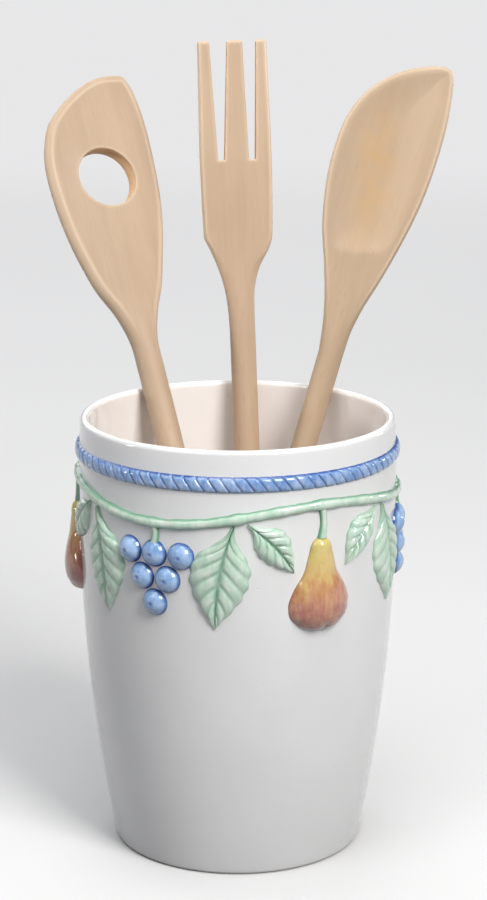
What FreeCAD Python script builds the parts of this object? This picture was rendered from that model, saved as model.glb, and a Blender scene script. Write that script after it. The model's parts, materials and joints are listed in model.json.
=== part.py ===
import FreeCAD, Part
import Sketcher
import math
import os

# Utensil crock with a sprigged fruit band and three wooden tools standing in it.
# Millimetres, +Z up. The origin is the middle of the foot ring, on the table.
# The front of the crock faces -Y.

Vector = FreeCAD.Vector
Z_AXIS = Vector(0, 0, 1)
FULL_TURN = 360.0
QUARTER_TURN = 90.0
REPEATS = 3
BERRY_ROWS = (3, 2, 1)
BERRY_PACKING_ANGLE = math.pi / 6
GROOVE_SIDES = 3
VINE_STEPS = 12
SETTLING_STEPS = 3

# Driving dimensions, in millimetres, degrees and counts.
SIZES = {
    # Crock wall, foot and lip
    "crock_height": 178.0,
    "belly_radius": 64.2,
    "belly_height": 136.0,
    "rim_draw_in": 0.7,
    "foot_draw_in": 13.5,
    "wall": 3.8,
    "floor_thickness": 7.0,
    "foot_ring_width": 6.0,
    "foot_recess": 2.0,
    "lip_round": 1.7,
    "foot_round": 2.0,
    "ring_round": 1.0,
    "inside_corner_round": 9.0,
    # Rope moulding under the lip
    "rope_level": 165.0,
    "rope_width": 6.6,
    "rope_stand": 1.7,
    "rope_strands": 84,
    "rope_lay_angle": 31.0,
    "rope_groove": 1.2,
    "rope_cutter": 1.6,
    # How deep every relief reaches into the wall before its back is trimmed to the wall
    "relief_root": 1.0,
    "sprig_gap": 0.3,
    # Vine
    "vine_drop": 10.0,
    "vine_swing": 3.5,
    "vine_radius": 2.0,
    "vine_stand": 2.2,
    # Pears and their stalks
    "pear_length": 39.0,
    "pear_width": 29.0,
    "pear_stand": 6.8,
    "pear_stem_length": 9.5,
    "stem_radius": 1.6,
    # Berry bunches
    "berry_radius": 5.9,
    "berry_sink": 2.0,
    "bunch_stem_length": 4.2,
    # Leaves
    "long_leaf_length": 42.0,
    "long_leaf_width": 25.0,
    "long_leaf_heading": 10.0,
    "long_leaf_offset": 1.5,
    "short_leaf_length": 27.0,
    "short_leaf_width": 14.5,
    "short_leaf_heading": 42.0,
    "short_leaf_offset": 4.0,
    "leaf_stand": 2.9,
    "leaf_rib_stand": 1.5,
    "leaf_gap": 0.8,
    # Clearance of each tool from the floor and the lip
    "fit_gap": 0.3,
    # Spatula
    "spatula_length": 335.6,
    "spatula_handle": 203.0,
    "spatula_handle_radius": 5.6,
    "spatula_width": 51.2,
    "spatula_thickness": 8.2,
    "spatula_tip_thickness": 5.4,
    "spatula_hole_radius": 13.1,
    "spatula_hole_level": 289.2,
    "spatula_hole_offset": 0.25,
    "spatula_foot_x": 12.0,
    "spatula_foot_y": -37.0,
    "spatula_bearing": -39.4,
    "spatula_roll": 30.0,
    # Fork
    "fork_length": 316.6,
    "fork_handle": 194.0,
    "fork_shoulder": 234.5,
    "fork_handle_radius": 5.4,
    "fork_width": 29.8,
    "fork_tip_width": 28.2,
    "fork_thickness": 7.4,
    "fork_tip_thickness": 5.4,
    "fork_slot_length": 49.2,
    "fork_slot_base": 2.9,
    "fork_left_mouth": 7.6,
    "fork_right_mouth": 5.9,
    "fork_slot_offset": 6.5,
    "fork_slot_lean": 0.35,
    "fork_foot_x": 9.0,
    "fork_foot_y": 31.0,
    "fork_bearing": 3.2,
    "fork_roll": 5.0,
    # Spoon
    "spoon_length": 322.9,
    "spoon_handle": 196.0,
    "spoon_handle_radius": 5.2,
    "spoon_width": 43.0,
    "spoon_front": 3.4,
    "spoon_back": 6.2,
    "spoon_tip_thickness": 5.0,
    "spoon_bowl_length": 84.0,
    "spoon_bowl_width": 34.0,
    "spoon_bowl_depth": 4.4,
    "spoon_bowl_level": 272.0,
    "spoon_bowl_tilt": 5.0,
    "spoon_foot_x": -14.0,
    "spoon_foot_y": 15.0,
    "spoon_bearing": 39.2,
    "spoon_roll": -4.0,
    # How far every cutter runs past what it cuts
    "overrun": 2.0,
}

# Half outline of a pear, from the stalk down: place along it, width, stand.
PEAR_SHARES = (
    (0.06, 0.24, 0.36),
    (0.20, 0.40, 0.52),
    (0.38, 0.55, 0.66),
    (0.56, 0.86, 0.90),
    (0.73, 1.00, 1.00),
    (0.88, 0.84, 0.84),
    (0.96, 0.50, 0.50),
)

# Outline of a leaf, from its stalk out: place along it, width, stand.
LEAF_SHARES = (
    (0.10, 0.17, 0.58),
    (0.20, 0.46, 0.76),
    (0.33, 0.87, 0.92),
    (0.48, 1.00, 1.00),
    (0.64, 0.88, 0.98),
    (0.79, 0.58, 0.86),
    (0.91, 0.25, 0.62),
)
LEAF_CREST_SHARE = 0.52

# A fruit's stalk, from the vine down: place along it, width.
STALK_SHARES = ((0.0, 0.8), (0.5, 0.9), (1.0, 1.0))

# Heads of the tools, from the neck up: place along the head, then how far the left and the
# right edge have opened from the handle's radius to half of the head's width.
SPATULA_SHARES = (
    (0.00, 0.000, 0.000),
    (0.10, 0.030, 0.020),
    (0.19, 0.215, 0.195),
    (0.28, 0.530, 0.450),
    (0.36, 0.710, 0.615),
    (0.46, 0.875, 0.797),
    (0.58, 0.985, 0.937),
    (0.70, 0.995, 1.000),
    (0.78, 0.890, 1.015),
    (0.85, 0.685, 1.005),
    (0.905, 0.360, 0.966),
    (0.945, 0.020, 0.915),
    (0.98, -0.360, 0.830),
    (1.00, -0.840, 0.730),
)
FORK_NECK_SHARES = (
    (0.00, 0.00, 0.00),
    (0.25, 0.05, 0.00),
    (0.50, 0.20, 0.07),
    (0.70, 0.45, 0.32),
    (0.89, 0.78, 0.77),
    (1.00, 1.00, 0.91),
)
FORK_HEAD_SHARES = (
    (0.00, 1.00, 0.91),
    (0.30, 1.06, 0.99),
    (1.00, 1.05, 0.99),
)
SPOON_SHARES = (
    (0.00, 0.000, 0.000),
    (0.087, 0.098, 0.030),
    (0.16, 0.220, 0.135),
    (0.27, 0.475, 0.375),
    (0.39, 0.800, 0.605),
    (0.52, 1.010, 0.800),
    (0.65, 1.077, 0.897),
    (0.77, 0.970, 0.911),
    (0.86, 0.660, 0.868),
    (0.93, 0.200, 0.800),
    (0.97, -0.255, 0.735),
    (0.99, -0.620, 0.665),
    (1.00, -0.900, 0.570),
)
NECK_BLEND_SHARE = 0.30
TIP_BLEND_SHARE = 0.55
BLADE_EDGE_SHARE = 0.80
SPOON_BACK_EDGE_SHARE = 0.38
BOWL_ROUND_SHARE = 3.0
ROUND_EDGE_SHARE = math.sin(math.pi / 4)

os.makedirs("parts", exist_ok=True)
doc = FreeCAD.newDocument("utensil_crock")
sheet = doc.addObject("Spreadsheet::Sheet", "Sizes")
for row, (alias, value) in enumerate(SIZES.items(), start=1):
    sheet.set(f"A{row}", alias)
    sheet.set(f"B{row}", str(value))
    sheet.setAlias(f"B{row}", alias)
doc.recompute()

sub_parts = []


def size(alias):
    """A driving dimension, as the sheet holds it."""
    return float(sheet.get(alias))


def cell(alias):
    """The expression that names a driving dimension."""
    return f"Sizes.{alias}"


def keep(item, label):
    """Name a finished sub-part and put it on the list of what is written."""
    item.Label = label
    sub_parts.append(item)
    return item


# Expressions of the crock's profile
RIM_RADIUS = f"({cell('belly_radius')} - {cell('rim_draw_in')})"
FOOT_RADIUS = f"({cell('belly_radius')} - {cell('foot_draw_in')})"


def wall_radius_expression(height):
    """Radius of the outer wall at a height, on the arc that the height lies on."""
    below = sheet.evalExpression(height) < size("belly_height")
    draw_in = cell("foot_draw_in" if below else "rim_draw_in")
    reach = cell("belly_height")
    if not below:
        reach = f"({cell('crock_height')} - {cell('belly_height')})"
    sweep = f"(({reach}^2 + {draw_in}^2) / (2 * {draw_in}))"
    rise = f"({height} - {cell('belly_height')})"
    return f"({cell('belly_radius')} - {sweep} + sqrt({sweep}^2 - {rise}^2))"


def wall_radius(height):
    """The same radius as a number, for the reliefs that follow the wall."""
    return sheet.evalExpression(wall_radius_expression(str(height)))


def profile(body, name, corners, arc_heights):
    """Closed sketch in the body's XZ plane. Corners are pairs of expressions. An edge that is
    listed in arc_heights is an arc whose centre is level with its widest corner."""
    sketch = body.newObject("Sketcher::SketchObject", name)
    plane = next(item for item in body.Origin.OriginFeatures if item.Role == "XZ_Plane")
    sketch.AttachmentSupport = [(plane, "")]
    sketch.MapMode = "FlatFace"
    points = [Vector(sheet.evalExpression(x), sheet.evalExpression(z), 0) for x, z in corners]
    ends = []
    for index, start in enumerate(points):
        finish = points[(index + 1) % len(points)]
        if index not in arc_heights:
            sketch.addGeometry(Part.LineSegment(start, finish))
            ends.append((1, 2))
            continue
        crest, other = sorted((start, finish), key=lambda point: -point.x)
        span = crest.x - other.x
        radius = (span ** 2 + (crest.y - other.y) ** 2) / (2 * span)
        centre = Vector(crest.x - radius, crest.y, 0)
        turns = [math.atan2(point.y - centre.y, point.x - centre.x) for point in (start, finish)]
        circle = Part.Circle(centre, Z_AXIS, radius)
        sketch.addGeometry(Part.ArcOfCircle(circle, min(turns), max(turns)))
        ends.append((1, 2) if turns[0] < turns[1] else (2, 1))
    for index, (x, z) in enumerate(corners):
        following = (index + 1) % len(corners)
        sketch.addConstraint(
            Sketcher.Constraint("Coincident", index, ends[index][1], following, ends[following][0])
        )
        for axis, expression, rule in ((-2, x, "DistanceX"), (-1, z, "DistanceY")):
            if expression == "0":
                sketch.addConstraint(Sketcher.Constraint("PointOnObject", index, ends[index][0], axis))
                continue
            value = sheet.evalExpression(expression)
            place = sketch.addConstraint(
                Sketcher.Constraint(rule, -1, 1, index, ends[index][0], value)
            )
            sketch.setExpression(f"Constraints[{place}]", expression)
    for index, height in arc_heights.items():
        value = sheet.evalExpression(height)
        place = sketch.addConstraint(Sketcher.Constraint("DistanceY", -1, 1, index, 3, value))
        sketch.setExpression(f"Constraints[{place}]", height)
    return sketch


def revolve(body, name, sketch):
    """Turn a profile about the body's own Z axis."""
    turned = body.newObject("PartDesign::Revolution", name)
    turned.Profile = sketch
    turned.ReferenceAxis = (sketch, ["V_Axis"])
    turned.Angle = FULL_TURN
    doc.recompute()
    return turned


def round_rings(body, name, base, rings, radius):
    """Round the circular edges of a turned form that lie nearest to the given rings."""
    names = []
    for ring_radius, ring_height in rings:
        circles = [
            (index, edge.Curve)
            for index, edge in enumerate(base.Shape.Edges, start=1)
            if isinstance(edge.Curve, Part.Circle)
        ]
        nearest = min(
            circles,
            key=lambda item: math.hypot(
                item[1].Radius - sheet.evalExpression(ring_radius),
                item[1].Center.z - sheet.evalExpression(ring_height),
            ),
        )
        names.append(f"Edge{nearest[0]}")
    rounded = body.newObject("PartDesign::Fillet", name)
    rounded.Base = (base, names)
    rounded.setExpression("Radius", radius)
    doc.recompute()
    return rounded


def crock_body():
    """The pot: one turned profile with a foot ring, a drawn-in lip and rounded edges."""
    body = doc.addObject("PartDesign::Body", "crock_body")
    ring_radius = f"({FOOT_RADIUS} - {cell('foot_ring_width')})"
    inner_rim = f"({RIM_RADIUS} - {cell('wall')})"
    inner_belly = f"({cell('belly_radius')} - {cell('wall')})"
    inner_floor = f"({wall_radius_expression(cell('floor_thickness'))} - {cell('wall')})"
    corners = [
        ("0", cell("foot_recess")),
        (ring_radius, cell("foot_recess")),
        (ring_radius, "0"),
        (FOOT_RADIUS, "0"),
        (cell("belly_radius"), cell("belly_height")),
        (RIM_RADIUS, cell("crock_height")),
        (inner_rim, cell("crock_height")),
        (inner_belly, cell("belly_height")),
        (inner_floor, cell("floor_thickness")),
        ("0", cell("floor_thickness")),
    ]
    arcs = {index: cell("belly_height") for index in (3, 4, 6, 7)}
    sketch = profile(body, "crock_profile", corners, arcs)
    turned = revolve(body, "crock_turned", sketch)
    lip = [(RIM_RADIUS, cell("crock_height")), (inner_rim, cell("crock_height"))]
    turned = round_rings(body, "lip_round", turned, lip, cell("lip_round"))
    turned = round_rings(body, "foot_round", turned, [(FOOT_RADIUS, "0")], cell("foot_round"))
    turned = round_rings(body, "ring_round", turned, [(ring_radius, "0")], cell("ring_round"))
    corner = [(inner_floor, cell("floor_thickness"))]
    round_rings(body, "inside_round", turned, corner, cell("inside_corner_round"))
    return keep(body, "crock_body")


def outer_form():
    """The pot's outside as a filled form. It trims the back of every relief to the wall."""
    body = doc.addObject("PartDesign::Body", "outer_form")
    corners = [
        ("0", "0"),
        (FOOT_RADIUS, "0"),
        (cell("belly_radius"), cell("belly_height")),
        (RIM_RADIUS, cell("crock_height")),
        ("0", cell("crock_height")),
    ]
    arcs = {index: cell("belly_height") for index in (1, 2)}
    revolve(body, "outer_turned", profile(body, "outer_profile", corners, arcs))
    return body


def trimmed(name, form, filled, label):
    """A relief with its back cut to the wall."""
    cut = doc.addObject("Part::Cut", name)
    cut.Base = form
    cut.Tool = filled
    return keep(cut, label)


def rope_band(filled):
    """The twisted rope: a crowned ring with slanting grooves between its strands."""
    body = doc.addObject("PartDesign::Body", "rope_form")
    level = cell("rope_level")
    at_wall = wall_radius_expression(level)
    root = f"({at_wall} - {cell('relief_root')})"
    half_width = f"{cell('rope_width')} / 2"
    corners = [
        (root, f"({level} - {half_width})"),
        (f"({at_wall} + {cell('rope_stand')})", level),
        (root, f"({level} + {half_width})"),
    ]
    sketch = profile(body, "rope_profile", corners, {0: level, 1: level})
    revolve(body, "rope_turned", sketch)
    groove = body.newObject("PartDesign::SubtractivePrism", "rope_groove")
    groove.Polygon = GROOVE_SIDES
    groove.setExpression("Circumradius", cell("rope_cutter"))
    groove.setExpression("Height", f"2 * {cell('rope_width')}")
    lay = math.radians(size("rope_lay_angle"))
    along = Vector(0, -math.sin(lay), math.cos(lay))
    inward = Vector(-1, 0, 0)
    turn = FreeCAD.Rotation(inward, along.cross(inward), along, "ZXY")
    depth = size("rope_stand") - size("rope_groove") + size("rope_cutter")
    middle = Vector(wall_radius(size("rope_level")) + depth, 0, size("rope_level"))
    groove.Placement = FreeCAD.Placement(middle - along * size("rope_width"), turn)
    doc.recompute()
    strands = body.newObject("PartDesign::PolarPattern", "rope_strands")
    strands.Originals = [groove]
    strands.Axis = (sketch, ["V_Axis"])
    strands.Angle = FULL_TURN
    strands.setExpression("Occurrences", cell("rope_strands"))
    body.Tip = strands
    doc.recompute()
    return trimmed("rope_band", body, filled, "rope_band")


def on_wall(along, height, lift):
    """A point on the front wall. Along is the arc length to the right of the pattern's start."""
    turn = along / size("belly_radius")
    radius = wall_radius(height) + lift
    return Vector(radius * math.cos(turn), radius * math.sin(turn), height)


def dome_section(along, height, side, half_width, stand):
    """Crowned section of a fruit or a stem, rooted inside the wall."""
    root = -size("relief_root")
    left = on_wall(along - side[0] * half_width, height - side[1] * half_width, root)
    right = on_wall(along + side[0] * half_width, height + side[1] * half_width, root)
    crest = on_wall(along, height, stand)
    return Part.Wire([Part.Arc(left, crest, right).toShape(), Part.LineSegment(right, left).toShape()])


def leaf_section(along, height, side, half_width, stand):
    """Section of a leaf: two swelling halves with a valley along the rib."""
    root = -size("relief_root")
    rib_stand = stand * size("leaf_rib_stand") / size("leaf_stand")

    def place(share, lift):
        reach = share * half_width
        return on_wall(along + side[0] * reach, height + side[1] * reach, lift)

    left, right = place(-1, root), place(1, root)
    rib = place(0, rib_stand)
    left_half = Part.Arc(left, place(-LEAF_CREST_SHARE, stand), rib).toShape()
    right_half = Part.Arc(rib, place(LEAF_CREST_SHARE, stand), right).toShape()
    return Part.Wire([left_half, right_half, Part.LineSegment(right, left).toShape()])


def tapered_relief(start, heading, length, width, stand, shares, section):
    """A fruit or leaf that runs straight over the wall, with both ends drawn to a point."""
    ahead = (math.sin(heading), -math.cos(heading))
    side = (math.cos(heading), math.sin(heading))
    root = -size("relief_root")
    wires = [Part.Vertex(on_wall(start[0], start[1], root))]
    for place, width_share, stand_share in shares:
        along = start[0] + ahead[0] * length * place
        height = start[1] + ahead[1] * length * place
        wires.append(section(along, height, side, width * width_share / 2, stand * stand_share))
    tip = on_wall(start[0] + ahead[0] * length, start[1] + ahead[1] * length, root)
    wires.append(Part.Vertex(tip))
    return Part.makeLoft(wires, True)


def sprig(name, shape, index, filled, label):
    """Set one repeat of a relief round the wall and trim its back."""
    form = doc.addObject("Part::Feature", f"{name}_form_{index}")
    form.Shape = shape
    form.Placement = FreeCAD.Placement(Vector(), FreeCAD.Rotation(Z_AXIS, index * FULL_TURN / REPEATS))
    return trimmed(f"{name}_{index}", form, filled, label)


# The pattern runs from one bunch to the next, and starts at angle 0 of each repeat.
PITCH = 2 * math.pi * size("belly_radius") / REPEATS


def vine_height(along):
    """Height of the vine's middle line: lowest at the bunches, highest at the pears."""
    drop = size("vine_drop") + size("vine_swing") * math.cos(2 * math.pi * along / PITCH)
    return size("rope_level") - size("rope_width") / 2 - drop


def below_vine(along, gap="sprig_gap"):
    """Where a stalk or leaf may start under the vine."""
    return vine_height(along) - size("vine_radius") - size(gap)


def vines(filled):
    """The running stem, in one length for each repeat."""
    clear = size("sprig_gap") / 2
    wires = []
    for step in range(VINE_STEPS + 1):
        along = clear + (PITCH - 2 * clear) * step / VINE_STEPS
        ahead = (vine_height(along + clear) - vine_height(along - clear)) / (2 * clear)
        slope = math.atan(ahead)
        side = (-math.sin(slope), math.cos(slope))
        wires.append(dome_section(along, vine_height(along), side, size("vine_radius"), size("vine_stand")))
    shape = Part.makeLoft(wires, True)
    for index in range(REPEATS):
        sprig("vine", shape, index, filled, f"vine_{index + 1}")


def stalk(along, top, bottom):
    """A short stalk that hangs from the vine and widens towards its fruit."""
    wires = []
    for place, width_share in STALK_SHARES:
        radius = size("stem_radius") * width_share
        wires.append(dome_section(along, top + (bottom - top) * place, (1, 0), radius, radius))
    return Part.makeLoft(wires, True)


def pears(filled):
    """A pear under the middle of each repeat, on its stalk."""
    along = PITCH / 2
    top = below_vine(along) - size("pear_stem_length")
    pear = tapered_relief(
        (along, top), 0, size("pear_length"), size("pear_width"), size("pear_stand"),
        PEAR_SHARES, dome_section,
    )
    stem = stalk(along, below_vine(along), top + size("sprig_gap"))
    for index in range(REPEATS):
        sprig("pear", pear, index, filled, f"pear_{index + 1}")
        sprig("pear_stem", stem, index, filled, f"pear_stem_{index + 1}")


def bunches(filled):
    """Berries in rows of three, two and one, each sunk into the wall, under a stalk."""
    footprint = math.sqrt(size("berry_radius") ** 2 - size("berry_sink") ** 2)
    pitch = 2 * footprint + size("sprig_gap")
    row_step = pitch * math.cos(BERRY_PACKING_ANGLE)
    bottom = below_vine(0) - size("bunch_stem_length")
    first = bottom - size("sprig_gap") - footprint
    stem = stalk(0, below_vine(0), bottom)
    for index in range(REPEATS):
        spheres = []
        for row, count in enumerate(BERRY_ROWS):
            for column in range(count):
                berry = doc.addObject("Part::Sphere", f"berry_{index}_{row}_{column}")
                berry.setExpression("Radius", cell("berry_radius"))
                along = (column - (count - 1) / 2) * pitch + index * PITCH
                berry.Placement.Base = on_wall(along, first - row * row_step, -size("berry_sink"))
                single = doc.addObject("Part::Cut", f"set_berry_{index}_{row}_{column}")
                single.Base = berry
                single.Tool = filled
                spheres.append(single)
        group = doc.addObject("Part::Compound", f"bunch_{index}")
        group.Links = spheres
        keep(group, f"bunch_{index + 1}")
        sprig("bunch_stem", stem, index, filled, f"bunch_stem_{index + 1}")


def leaves(filled):
    """Two pairs of leaves in each repeat, a long one beside the bunch and a short one
    leaning towards the pear. The second pair mirrors the first."""
    forms = []
    for node, towards_pear in ((PITCH / 4, 1), (3 * PITCH / 4, -1)):
        for kind, lean in (("long_leaf", -towards_pear), ("short_leaf", towards_pear)):
            along = node + lean * size(f"{kind}_offset")
            heading = lean * math.radians(size(f"{kind}_heading"))
            forms.append(tapered_relief(
                (along, below_vine(along, "leaf_gap")), heading, size(f"{kind}_length"),
                size(f"{kind}_width"), size("leaf_stand"), LEAF_SHARES, leaf_section,
            ))
    for index in range(REPEATS):
        for order, shape in enumerate(forms):
            number = index * len(forms) + order + 1
            sprig(f"leaf_{order}", shape, index, filled, f"leaf_{number}")


def blade_section(level, left, right, front, back, front_edge, back_edge, bevel):
    """Section of a wooden tool: two crowned faces joined by rounded edges."""
    middle = (right - left) / 2
    front_left = Vector(-left + bevel, -front_edge, level)
    front_right = Vector(right - bevel, -front_edge, level)
    back_left = Vector(-left + bevel, back_edge, level)
    back_right = Vector(right - bevel, back_edge, level)
    arcs = (
        (front_left, Vector(middle, -front, level), front_right),
        (front_right, Vector(right, 0, level), back_right),
        (back_right, Vector(middle, back, level), back_left),
        (back_left, Vector(-left, 0, level), front_left),
    )
    return Part.Wire([Part.Arc(*points).toShape() for points in arcs])


def blend(start, finish, share):
    """Ease from one size to another."""
    share = min(max(share, 0), 1)
    return start + (finish - start) * share * share * (3 - 2 * share)


def head_loft(tool, start, finish, half_width, shares, front, back, back_edge_share):
    """The carved head of a tool, lofted from its handle's round section to its flat one and
    thinned towards its tip. Start and finish are heights above the end of the handle."""
    radius = size(f"{tool}_handle_radius")
    tip = size(f"{tool}_tip_thickness") / 2
    neck_start = size(f"{tool}_handle")
    head_length = size(f"{tool}_length") - neck_start
    bevel = radius * (1 - ROUND_EDGE_SHARE)
    wires = []
    for place, left_share, right_share in shares:
        level = start + (finish - start) * place
        along = (level - neck_start) / head_length
        neck = along / NECK_BLEND_SHARE
        fall = (along - TIP_BLEND_SHARE) / (1 - TIP_BLEND_SHARE)
        half_front = blend(blend(radius, front, neck), tip, fall)
        half_back = blend(blend(radius, back, neck), tip, fall)
        front_edge = half_front * blend(ROUND_EDGE_SHARE, BLADE_EDGE_SHARE, neck)
        back_edge = half_back * blend(ROUND_EDGE_SHARE, blend(back_edge_share, BLADE_EDGE_SHARE, fall), neck)
        left = radius + (half_width(place) - radius) * left_share
        right = radius + (half_width(place) - radius) * right_share
        wires.append(blade_section(level, left, right, half_front, half_back, front_edge, back_edge, bevel))
    return Part.makeLoft(wires, True)


def handle(tool):
    """Round handle with a domed end, from the end at 0 up to the neck."""
    body = doc.addObject("PartDesign::Body", f"{tool}_handle")
    radius = cell(f"{tool}_handle_radius")
    corners = [("0", "0"), (radius, radius), (radius, cell(f"{tool}_handle")), ("0", cell(f"{tool}_handle"))]
    sketch = profile(body, f"{tool}_handle_profile", corners, {0: radius})
    revolve(body, f"{tool}_handle_turned", sketch)
    return body


def blank(tool, shapes):
    """Handle and carved head as one piece of wood."""
    pieces = [handle(tool)]
    for order, shape in enumerate(shapes):
        head = doc.addObject("Part::Feature", f"{tool}_head_{order}")
        head.Shape = shape
        pieces.append(head)
    joined = doc.addObject("Part::MultiFuse", f"{tool}_blank")
    joined.Shapes = pieces
    joined.Refine = True
    return joined


def standing(tool):
    """Place of a tool: its domed end just over the floor, its handle against the lip."""
    radius = size(f"{tool}_handle_radius")
    lift = size("floor_thickness") + size("fit_gap") + radius
    foot = Vector(size(f"{tool}_foot_x"), size(f"{tool}_foot_y"), lift)
    bearing = math.radians(size(f"{tool}_bearing"))
    outward = Vector(math.sin(bearing), math.cos(bearing), 0)
    lip_middle = sheet.evalExpression(RIM_RADIUS) - size("wall") + size("lip_round")
    reach = radius + size("lip_round") + size("fit_gap")
    direction = Vector(Z_AXIS)
    for _ in range(SETTLING_STEPS):
        slant = math.sqrt(1 - direction.dot(outward) ** 2)
        rest = outward * (lip_middle - reach / slant)
        rest.z = size("crock_height") - size("lip_round")
        direction = (rest - foot).normalize()
    turn = FreeCAD.Rotation(Z_AXIS, direction)
    turn = turn.multiply(FreeCAD.Rotation(Z_AXIS, size(f"{tool}_roll")))
    return FreeCAD.Placement(foot - direction * radius, turn)


def carved(tool, wood, cutter):
    """Cut a tool's hole, slots or bowl, and stand the tool in the crock."""
    cut = doc.addObject("Part::Cut", tool)
    cut.Base = wood
    cut.Tool = cutter
    cut.Placement = standing(tool)
    return keep(cut, tool)


def spatula():
    """Flat tool with a round hole and a pointed upper corner."""
    half_thick = size("spatula_thickness") / 2
    head = head_loft(
        "spatula", size("spatula_handle"), size("spatula_length"),
        lambda place: size("spatula_width") / 2, SPATULA_SHARES, half_thick, half_thick, BLADE_EDGE_SHARE,
    )
    hole = doc.addObject("Part::Cylinder", "spatula_hole")
    hole.setExpression("Radius", cell("spatula_hole_radius"))
    hole.setExpression("Height", f"{cell('spatula_thickness')} + 2 * {cell('overrun')}")
    start = Vector(size("spatula_hole_offset"), half_thick + size("overrun"), size("spatula_hole_level"))
    hole.Placement = FreeCAD.Placement(start, FreeCAD.Rotation(Vector(1, 0, 0), QUARTER_TURN))
    return carved("spatula", blank("spatula", [head]), hole)


def fork():
    """Flat tool with square shoulders and three tines between two tapering slots."""
    half_thick = size("fork_thickness") / 2

    def half_width(place):
        return blend(size("fork_width"), size("fork_tip_width"), place) / 2

    neck = head_loft(
        "fork", size("fork_handle"), size("fork_shoulder"), lambda place: size("fork_width") / 2,
        FORK_NECK_SHARES, half_thick, half_thick, BLADE_EDGE_SHARE,
    )
    head = head_loft(
        "fork", size("fork_shoulder"), size("fork_length"), half_width,
        FORK_HEAD_SHARES, half_thick, half_thick, BLADE_EDGE_SHARE,
    )
    slots = []
    for side, mouth in ((-1, "fork_left_mouth"), (1, "fork_right_mouth")):
        slot = doc.addObject("Part::Wedge", f"fork_slot_{len(slots)}")
        slot.setExpression("Xmin", f"-{cell('fork_slot_base')} / 2")
        slot.setExpression("Xmax", f"{cell('fork_slot_base')} / 2")
        slot.Ymin = 0
        slot.setExpression("Ymax", cell("fork_slot_length"))
        slot.setExpression("X2min", f"{cell('fork_slot_lean')} - {cell(mouth)} / 2")
        slot.setExpression("X2max", f"{cell('fork_slot_lean')} + {cell(mouth)} / 2")
        for near in ("Zmin", "Z2min"):
            slot.setExpression(near, f"-{cell('fork_thickness')}")
        for far in ("Zmax", "Z2max"):
            slot.setExpression(far, cell("fork_thickness"))
        base = size("fork_length") - size("fork_slot_length")
        place = Vector(side * size("fork_slot_offset"), 0, base)
        slot.Placement = FreeCAD.Placement(place, FreeCAD.Rotation(Vector(1, 0, 0), QUARTER_TURN))
        slots.append(slot)
    both = doc.addObject("Part::Compound", "fork_slots")
    both.Links = slots
    return carved("fork", blank("fork", [neck, head]), both)


def spoon():
    """Corner spoon with a rounded back and a shallow bowl."""
    head = head_loft(
        "spoon", size("spoon_handle"), size("spoon_length"), lambda place: size("spoon_width") / 2,
        SPOON_SHARES, size("spoon_front"), size("spoon_back"), SPOON_BACK_EDGE_SHARE,
    )
    bowl = doc.addObject("Part::Ellipsoid", "spoon_bowl")
    deep = BOWL_ROUND_SHARE
    spread = 1 / math.sqrt(1 - ((deep - 1) / deep) ** 2)
    bowl.setExpression("Radius1", f"{cell('spoon_bowl_length')} / 2 * {spread}")
    bowl.setExpression("Radius2", f"{cell('spoon_bowl_width')} / 2 * {spread}")
    bowl.setExpression("Radius3", f"{cell('spoon_bowl_depth')} * {deep}")
    bowl.Angle1 = -QUARTER_TURN
    bowl.Angle2 = QUARTER_TURN
    bowl.Angle3 = FULL_TURN
    middle = Vector(0, -size("spoon_front") - (deep - 1) * size("spoon_bowl_depth"), size("spoon_bowl_level"))
    bowl.Placement = FreeCAD.Placement(middle, FreeCAD.Rotation(Vector(0, 1, 0), size("spoon_bowl_tilt")))
    return carved("spoon", blank("spoon", [head]), bowl)


crock_body()
filled_form = outer_form()
rope_band(filled_form)
vines(filled_form)
pears(filled_form)
bunches(filled_form)
leaves(filled_form)
spatula()
fork()
spoon()
doc.recompute()

for item in doc.Objects:
    if "Invalid" in item.State or "Error" in item.State:
        raise RuntimeError(f"{item.Name} failed: {item.State}")
for item in sub_parts:
    if item.Shape.isNull() or not item.Shape.isValid():
        raise RuntimeError(f"{item.Label} has no valid shape")

for item in sub_parts:
    item.Shape.exportStep(f"parts/{item.Label}.step")
    print(item.Label, len(item.Shape.Solids), "solids", round(item.Shape.Volume, 1), "mm3")
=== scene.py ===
# %% [markdown]
# # A utensil crock with three wooden tools
# The object is a white glazed crock with a blue rope moulding and a raised band of fruit, and
# it holds a spatula, a fork and a corner spoon. The solids from the CAD step are loaded first.
# They fix every size and every place, so each piece below is modelled straight into the same
# frame, in metres: +Z is up, the front faces -Y, and the foot stands on the floor at 0.

# %% Load the frame
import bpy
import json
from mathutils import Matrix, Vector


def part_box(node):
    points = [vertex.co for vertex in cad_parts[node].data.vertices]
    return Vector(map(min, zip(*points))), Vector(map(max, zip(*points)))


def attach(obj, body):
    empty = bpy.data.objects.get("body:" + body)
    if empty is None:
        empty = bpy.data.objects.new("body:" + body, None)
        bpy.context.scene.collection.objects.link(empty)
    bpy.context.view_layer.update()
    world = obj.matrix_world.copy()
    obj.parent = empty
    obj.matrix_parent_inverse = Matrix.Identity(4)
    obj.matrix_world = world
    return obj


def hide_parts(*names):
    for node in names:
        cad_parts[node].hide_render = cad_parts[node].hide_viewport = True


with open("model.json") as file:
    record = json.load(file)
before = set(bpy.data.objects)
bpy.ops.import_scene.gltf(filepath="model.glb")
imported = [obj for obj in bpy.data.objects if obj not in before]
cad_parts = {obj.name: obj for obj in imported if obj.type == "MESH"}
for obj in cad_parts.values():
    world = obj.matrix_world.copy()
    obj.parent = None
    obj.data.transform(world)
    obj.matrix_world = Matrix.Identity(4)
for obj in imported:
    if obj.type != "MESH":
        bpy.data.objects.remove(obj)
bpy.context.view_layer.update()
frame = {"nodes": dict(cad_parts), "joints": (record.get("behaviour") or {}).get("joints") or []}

# %% Other modules
import json
import math
import bpy
import numpy as np
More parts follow.
